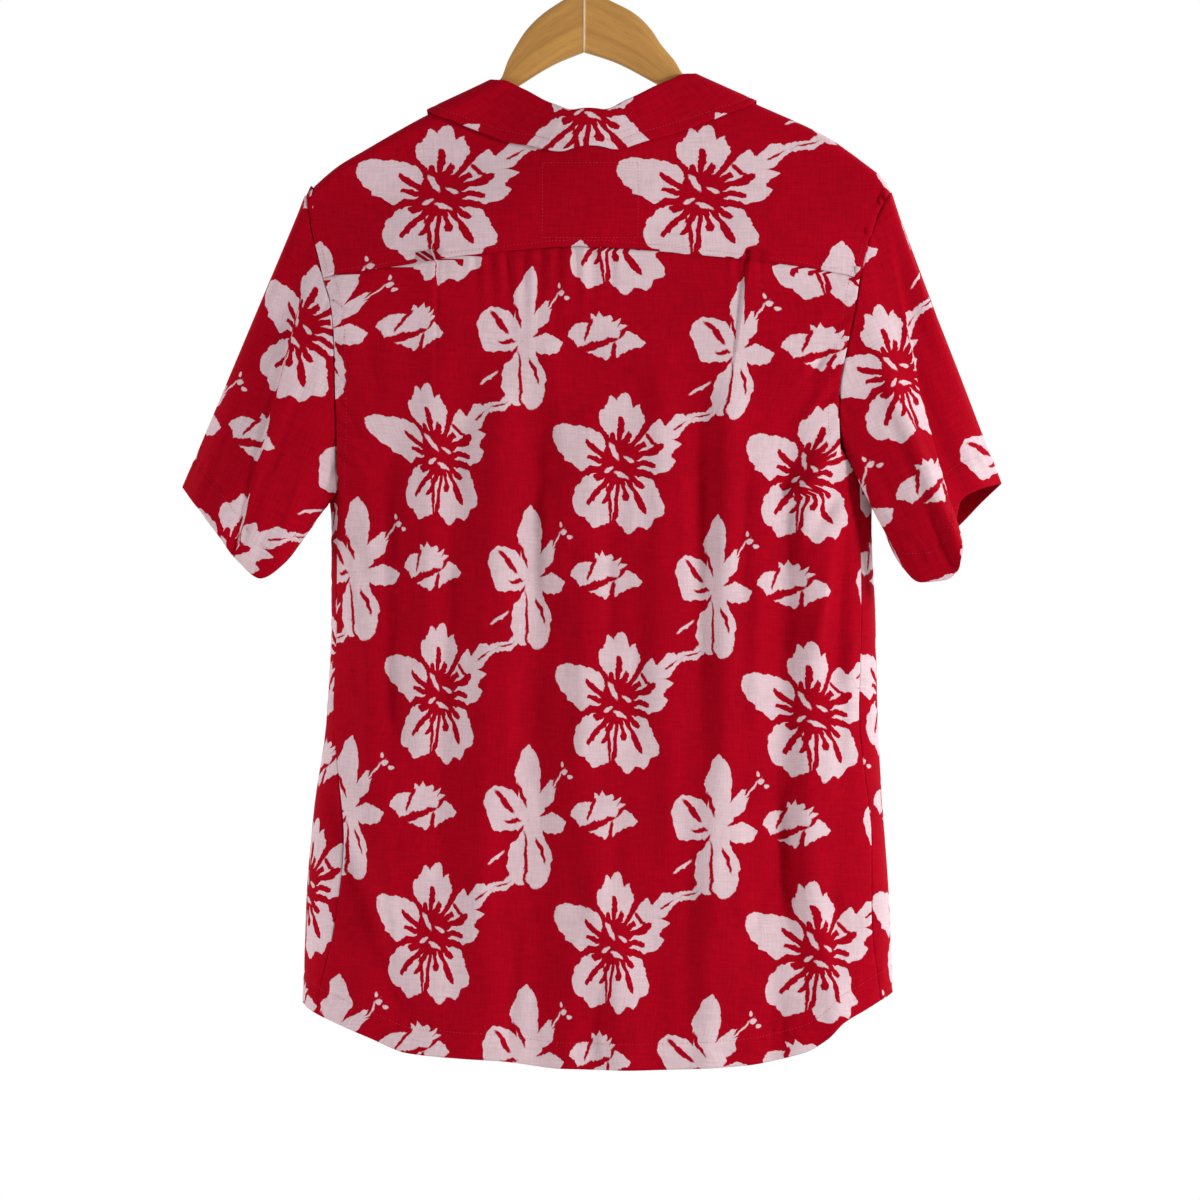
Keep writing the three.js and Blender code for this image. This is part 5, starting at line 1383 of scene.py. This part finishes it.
# Clear-varnished beech: grain runs along the arm, with darker pores and soft bands
def wood_material():
    material, shader = new_material("HangerWood")
    uv = shader.add("ShaderNodeUVMap", uv_map="Grain").outputs[0]
    fine = shader.streaks(uv, (14, 260, 1), 4.0, 0.65)
    broad = shader.streaks(uv, (5, 70, 1))
    pores = shader.spread(shader.streaks(uv, (90, 1500, 1), 1.0), 0.62, 0.72)
    grain = shader.math("ADD", shader.math("MULTIPLY", fine, 0.5), shader.math("MULTIPLY", broad, 0.5))
    tone = shader.spread(grain, 0.35, 0.65)
    colour = shader.mix_colour(tone, (0.33, 0.148, 0.027, 1), (0.52, 0.26, 0.055, 1))
    shader.finish({
        "Base Color": shader.mix_colour(shader.math("MULTIPLY", pores, 0.35), colour, (0.19, 0.08, 0.02, 1)),
        "Roughness": shader.spread(fine, 0.3, 0.7, 0.42, 0.55),
        "Normal": shader.bump(grain, 0.15, 0.0005),
        "Coat Weight": 0.1,
        "Coat Roughness": 0.3,
    })
    return material


# Bright plated wire with faint drawing marks
def steel_material():
    material, shader = new_material("HookSteel")
    place = shader.object_place()
    marks = shader.noise(place, 900.0, 3.0)
    patch = shader.noise(place, 60.0)
    shader.finish({
        "Base Color": shader.mix_colour(patch, (0.60, 0.60, 0.61, 1), (0.74, 0.74, 0.75, 1)),
        "Roughness": shader.spread(marks, 0.3, 0.7, 0.18, 0.32),
        "Normal": shader.bump(marks, 0.05, 0.0002),
        "Metallic": 1.0,
    })
    return material


# Pearly button plastic with clouded bands
def button_material():
    material, shader = new_material("ButtonPlastic")
    cloud = shader.streaks(shader.object_place(), (220, 90, 500), 3.0, 0.6)
    tone = shader.spread(cloud, 0.35, 0.65)
    shader.finish({
        "Base Color": shader.mix_colour(tone, (0.66, 0.56, 0.46, 1), (0.86, 0.81, 0.74, 1)),
        "Roughness": shader.spread(cloud, 0.3, 0.7, 0.18, 0.3),
        "Coat Weight": 0.4,
    })
    return material


# Upper and lower edge of one half of the hanger; the arm lies under the cloth and sinks at its tip
def wood_edges(hand):
    arm_x = np.linspace(*WOOD_ARM[hand], ARM_NODES)
    slope = (ridge(arm_x + 1) - ridge(arm_x - 1)) / 2
    drop = WOOD_TIP_DROP * np.linspace(0, 1, ARM_NODES) ** 6
    arm_z = ridge(arm_x) - CAD_CLOTH * np.hypot(1, slope) - WOOD_CLEARANCE - drop
    upper = np.array(WOOD_NECK[hand] + list(zip(arm_x, arm_z)), float)
    lower = np.array(WOOD_LOWER[hand], float)
    upper[0, 0] = lower[0, 0] = SIGN[hand] * SEAM_GAP / 2
    return upper, lower


# Evenly spaced points of a smooth curve through a line, and the line's length
def even_line(line):
    along = line_length(line)
    return smooth_through(along, line, np.linspace(0, along[-1], WOOD_SECTIONS)), along[-1]


# Rounded section of the wood, as (share of the half height, depth)
def wood_ring():
    squared = lambda value: math.copysign(abs(value) ** WOOD_SQUARENESS, value)
    angles = [math.radians(degrees) for degrees in range(0, 360, 12)]
    return [(squared(math.sin(a)), squared(math.cos(a)) * WOOD_THICKNESS / 2) for a in angles]


# One half of the hanger: rounded sections along the neck and the arm
def make_wood(hand, material):
    sign = SIGN[hand]
    (top, top_length), (low, _) = [even_line(line) for line in wood_edges(hand)]
    middle, half = (top + low) / 2, (top - low) / 2
    t = np.linspace(0, 1, WOOD_SECTIONS)
    past = ((t - 1 + WOOD_TIP_SHARE) / WOOD_TIP_SHARE).clip(0, 1)
    tip = np.sqrt(np.clip(1 - past**2, 0.02, 1))
    ring = wood_ring()
    points = np.zeros((WOOD_SECTIONS, len(ring), 3))
    for k, (up, depth) in enumerate(ring):
        points[:, k, ::2] = middle + half * (up * tip)[:, None]
        points[:, k, 1] = depth * (0.25 + 0.75 * tip)
    ids = np.arange(WOOD_SECTIONS * len(ring)).reshape(WOOD_SECTIONS, len(ring))
    faces = face_corners(np.concatenate([ids, ids[:, :1]], axis=1), -sign).reshape(-1, 4).tolist()
    faces += [cap[::sign] for cap in (ids[0].tolist(), ids[-1].tolist()[::-1])]
    over = np.array([up for up, _ in ring]) * 14 + 0.3 * points[..., 1] + (0 if hand == "left" else 300)
    spots = stacked((t * top_length)[:, None], over).reshape(-1, 2)[np.concatenate(faces)]
    piece = add_piece("wood_" + hand, points, faces, [material], spots, "Grain")
    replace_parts(piece, "hanger_wood_" + hand)


# Tube along a line of points
def tube(name, points, radius, material, sides):
    points = np.asarray(points, float)
    tangents = np.gradient(points, axis=0)
    tangents /= np.linalg.norm(tangents, axis=1, keepdims=True)
    aside = np.array([0.0, 1.0, 0.0])
    vertices = []
    for point, tangent, size in zip(points, tangents, np.broadcast_to(radius, len(points))):
        other = np.cross(tangent, aside)
        other /= np.linalg.norm(other)
        for k in range(sides):
            angle = 2 * math.pi * k / sides
            vertices.append(point + (aside * math.cos(angle) + other * math.sin(angle)) * size)
    return add_piece(name, vertices, ring_faces(len(points), sides), [material])


# The hook: an open loop over the rail, its neck and the stem into the wood
def make_hook(material):
    radius = HOOK_INNER_RADIUS + HOOK_WIRE / 2
    centre = HOOK_WIRE / 2 - radius
    low = centre - radius
    turns = np.radians(np.arange(200, -51, -5))
    loop = [(radius * math.cos(a), 0, centre + radius * math.sin(a)) for a in turns]
    neck = [(3, 0, low - 1), (0.6, 0, low - 5), (0, 0, low - 9)]
    stem = [(0, 0, z) for z in np.linspace(low - 13, HOOK_STEM_END, 6)]
    points = np.array(loop + neck + stem)
    for _ in range(3):
        points[1:-1] = points[1:-1] * 0.5 + (points[:-2] + points[2:]) * 0.25
    radii = np.full(len(points), HOOK_WIRE / 2)
    radii[0] = HOOK_WIRE * 0.3
    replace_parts(tube("hook", points, radii, material, 18), "hanger_hook")


# Underside of a button on the front, and the directions across it, up and outward
def button_seat(index):
    z = BUTTON_TOP - index * BUTTON_PITCH
    turn = float(turn_of(CENTRE_FRONT, z, -1))
    x_step = body_place(turn + 0.002, z) - body_place(turn - 0.002, z)
    z_step = body_place(turn, z + 5) - body_place(turn, z - 5)
    outward = np.cross(x_step, z_step)
    outward *= np.sign(-outward[1]) / np.linalg.norm(outward)
    across = np.cross(outward, (0, 0, 1))
    across /= np.linalg.norm(across)
    return body_place(turn, z) + outward * BUTTON_LIFT, across, np.cross(across, outward), outward


# A button with a raised rim and a dished middle, and the two rows of thread that hold it
def make_button(index, material, thread):
    base, across, up, outward = button_seat(index)
    vertices = []
    for radius, height in BUTTON_PROFILE:
        for k in range(BUTTON_SIDES):
            angle = 2 * math.pi * k / BUTTON_SIDES
            flat = across * math.cos(angle) + up * math.sin(angle)
            vertices.append(base + flat * radius * BUTTON_RADIUS + outward * height * BUTTON_THICKNESS)
    name = "button_piece_" + str(index + 1)
    faces = ring_faces(len(BUTTON_PROFILE), BUTTON_SIDES)
    piece = add_piece(name, vertices, faces, [material])
    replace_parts(piece, "button_" + str(index + 1))
    seat = base + outward * (BUTTON_THICKNESS * BUTTON_DISH + 0.1)
    for side, letter in ((-1, "a"), (1, "b")):
        line = [seat + up * (t * 1.5) + across * side * 1.1 + outward * 0.35 * (1 - t * t)
                for t in np.linspace(-1, 1, 9)]
        tube(name + "_thread_" + letter, line, THREAD_RADIUS, thread, 8)


# Line a distance in from an edge of a grid of points, with its normals
def line_inside(points, facing, distance, axis, from_end=False):
    grids = [points, grid_normals(points, facing)]
    if axis == 1:
        grids = [grid.transpose(1, 0, 2) for grid in grids]
    if from_end:
        grids = [grid[::-1] for grid in grids]
    length = grid_length(grids[0], 0)
    rows = np.arange(len(length))
    columns = np.arange(length.shape[1])
    place = np.array([np.interp(distance, length[:, c], rows) for c in columns])
    low = np.minimum(place.astype(int), len(rows) - 2)
    part = (place - low)[:, None]
    return [mix(grid[low, columns], grid[low + 1, columns], part) for grid in grids]


# Adds the seam allowance of a piece, two rows that slip under its neighbour before its first row
def tucked(points, flat, normals):
    back = points[0] - points[3]
    back = back / np.linalg.norm(back, axis=-1, keepdims=True)
    under = points[0] - normals * TUCK_DEPTH
    far = under + back * TUCK_LENGTH - normals * TUCK_DEPTH / 2
    up = flat[0] - flat[1]
    up = up / np.maximum(np.linalg.norm(up, axis=-1, keepdims=True), 1e-6)
    points = np.concatenate([far[None], under[None], points])
    flat = np.concatenate([(flat[0] + up * TUCK_LENGTH)[None], (flat[0] + up * 0.5)[None], flat])
    return points, flat


# Plain rectangle of stitches on the yoke, sewn through from a label inside
def label_stitches(thread):
    spots = []
    for (ax, az), (bx, bz) in zip(LABEL_CORNERS, LABEL_CORNERS[1:] + LABEL_CORNERS[:1]):
        t = np.linspace(0, 1, 40)
        spots += list(zip(mix(ax, bx, t), mix(az, bz, t)))
    spots = np.array(spots)
    at = stacked(spots[:, 0], run_of(spots[:, 0], spots[:, 1], 1))
    stitch_line("label_stitches", lifted(at, 0), lifted(at, 1) - lifted(at, 0), thread)


# Hides the part of the model that a piece of cloth takes the place of
def sheet(piece, node, with_pieces):
    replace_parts(piece, node)


# All cloth and its stitches
def make_shirt(thread):
    group = print_group()
    both = [cloth_material("PrintedCloth", group), cloth_material("PrintedClothInside", group, wrong=True)]
    make_back_piece(both, thread)
    make_yoke_piece(both, thread)
    for hand in SIGN:
        make_front_piece(hand, both, thread)
        points, flat = make_lapel(hand)
        piece = cloth_piece("shirt_lapel_" + hand, points, flat, SIGN[hand], both)
        sheet(piece, "lapel_" + hand, [])
        make_sleeve_piece(hand, both, thread)
    points, flat, line = make_collar()
    piece = cloth_piece("shirt_collar", points, flat, -1, both, thickness=COLLAR_THICKNESS)
    outward = line_inside(points, -1, 0.5, 1, True)[1]
    sheet(piece, "collar", [stitch_line("collar_stitches", line, outward, thread)])
    label_stitches(thread)


def make_back_piece(materials, thread):
    points, flat = make_back()
    level = np.zeros_like(points[0]) + (0, 1, 0)
    piece = cloth_piece("shirt_back", *tucked(points, flat, level), 1, materials)
    stitches = [stitch_line("back_hem_stitches", *line_inside(points, 1, HEM_BAND, 0, True), thread)]
    for hand, from_end in (("left", False), ("right", True)):
        line, normals = line_inside(points, 1, ARMHOLE_STITCH, 1, from_end)
        beside = line[:, 2] > UNDERARM[hand]
        name = "back_armhole_stitches_" + hand
        stitches.append(stitch_line(name, line[beside], normals[beside], thread))
    sheet(piece, "back", stitches)


def make_yoke_piece(materials, thread):
    points, flat = make_yoke()
    piece = cloth_piece("shirt_yoke", points, flat, -1, materials)
    line, normals = line_inside(points, -1, YOKE_STITCH, 1, True)
    seam = (line[:, 1] > 0) & (line[:, 2] < YOKE_STITCH_TOP)
    stitches = [stitch_line("yoke_seam_stitches", line[seam], normals[seam], thread)]
    for hand, from_end in (("left", False), ("right", True)):
        line, normals = line_inside(points, -1, YOKE_STITCH, 0, from_end)
        stitches.append(stitch_line("yoke_front_stitches_" + hand, line, normals, thread))
    sheet(piece, "yoke", stitches)


def make_front_piece(hand, materials, thread):
    node, facing = "front_" + hand, -SIGN[hand]
    points, flat = make_front(hand)
    allowance = tucked(points, flat, grid_normals(points, facing)[1])
    piece = cloth_piece("shirt_" + node, *allowance, facing, materials)
    stitches = []
    for name, distance, axis in (("_hem_stitches", HEM_BAND, 0), ("_edge_stitches", PLACKET, 1)):
        stitches.append(stitch_line(node + name, *line_inside(points, facing, distance, axis, True), thread))
    sheet(piece, node, stitches)


def make_sleeve_piece(hand, materials, thread):
    node, facing = "sleeve_" + hand, SIGN[hand]
    points, flat = make_sleeve(hand)
    allowance = tucked(points, flat, loop_normals(points, facing)[1])
    piece = cloth_piece("shirt_" + node, *allowance, facing, materials, closed=True)
    lines = [np.concatenate([loop, loop[:1]]) for loop in line_inside(points, facing, SLEEVE_BAND, 0, True)]
    sheet(piece, node, [stitch_line(node + "_hem_stitches", *lines, thread)])


# Pale studio floor below the view of the photograph
def make_floor():
    material = bpy.data.materials.new("PaleFloor")
    material.use_nodes = True
    shader = Shader(material.node_tree)
    surface = material.node_tree.nodes["Principled BSDF"]
    place = shader.add("ShaderNodeTexCoord").outputs["Object"]
    tone = shader.noise(place, 8.0, 3.0)
    colour = shader.mix_colour(tone, (0.78, 0.78, 0.77, 1), (0.82, 0.82, 0.81, 1))
    shader.put(surface.inputs["Base Color"], colour)
    surface.inputs["Roughness"].default_value = 0.7
    mesh = bpy.data.meshes.new("floor")
    angles = np.linspace(0, 2 * math.pi, FLOOR_CORNERS, endpoint=False)
    corners = [(FLOOR_RADIUS * math.cos(a), FLOOR_RADIUS * math.sin(a), FLOOR_LEVEL) for a in angles]
    mesh.from_pydata(corners, [], [list(range(FLOOR_CORNERS))])
    mesh.materials.append(material)
    floor = bpy.data.objects.new("floor", mesh)
    bpy.context.collection.objects.link(floor)


# One soft light aimed at the shirt
def make_light(name, place, size, power):
    light = bpy.data.lights.new(name, "AREA")
    light.shape = "DISK"
    light.size = size
    light.energy = power
    lamp = bpy.data.objects.new(name, light)
    lamp.location = place
    aim = Vector((0, 0, AIM_HEIGHT)) - Vector(place)
    lamp.rotation_euler = aim.to_track_quat("-Z", "Y").to_euler()
    bpy.context.collection.objects.link(lamp)
    return lamp


# Camera square to the back of the shirt, as in the photograph
def make_camera():
    camera = bpy.data.cameras.new("camera")
    camera.sensor_width = SENSOR
    camera.lens = SENSOR * CAMERA_DISTANCE / (PHOTO_SIZE * PHOTO_PIXEL * MM)
    camera.dof.use_dof = False
    body = bpy.data.objects.new("camera", camera)
    body.location = (PHOTO_MIDDLE[0] * MM, CAMERA_DISTANCE, PHOTO_MIDDLE[1] * MM)
    body.rotation_euler = (math.pi / 2, 0, math.pi)
    bpy.context.collection.objects.link(body)
    bpy.context.scene.camera = body


# Pale surroundings, white beyond the shirt and dimmer on the camera's side, with three lamps
def make_studio():
    world = bpy.data.worlds.new("studio")
    world.use_nodes = True
    background = world.node_tree.nodes["Background"]
    shader = Shader(world.node_tree)
    direction = shader.add("ShaderNodeTexCoord").outputs["Generated"]
    back_to_front = shader.add("ShaderNodeSeparateXYZ", {"Vector": direction}).outputs["Y"]
    shader.put(background.inputs["Strength"], shader.spread(back_to_front, -0.6, 0.5, 1.0, 0.37))
    background.inputs["Color"].default_value = (1, 1, 1, 1)
    bpy.context.scene.world = world
    bpy.context.scene.view_settings.view_transform = "Standard"
    make_light("key", (-2.25, 1.2, 0.0), 0.5, 56)
    make_light("rim", (2.4, 1.1, -0.7), 0.8, 31)
    make_light("front fill", (-2.2, -1.6, 0.4), 1.2, 30)
    make_floor()
    make_camera()


thread = thread_material()
make_shirt(thread)
button = button_material()
wood = wood_material()
for number in range(BUTTON_COUNT):
    make_button(number, button, thread)
for hand_name in SIGN:
    make_wood(hand_name, wood)
make_hook(steel_material())
make_studio()
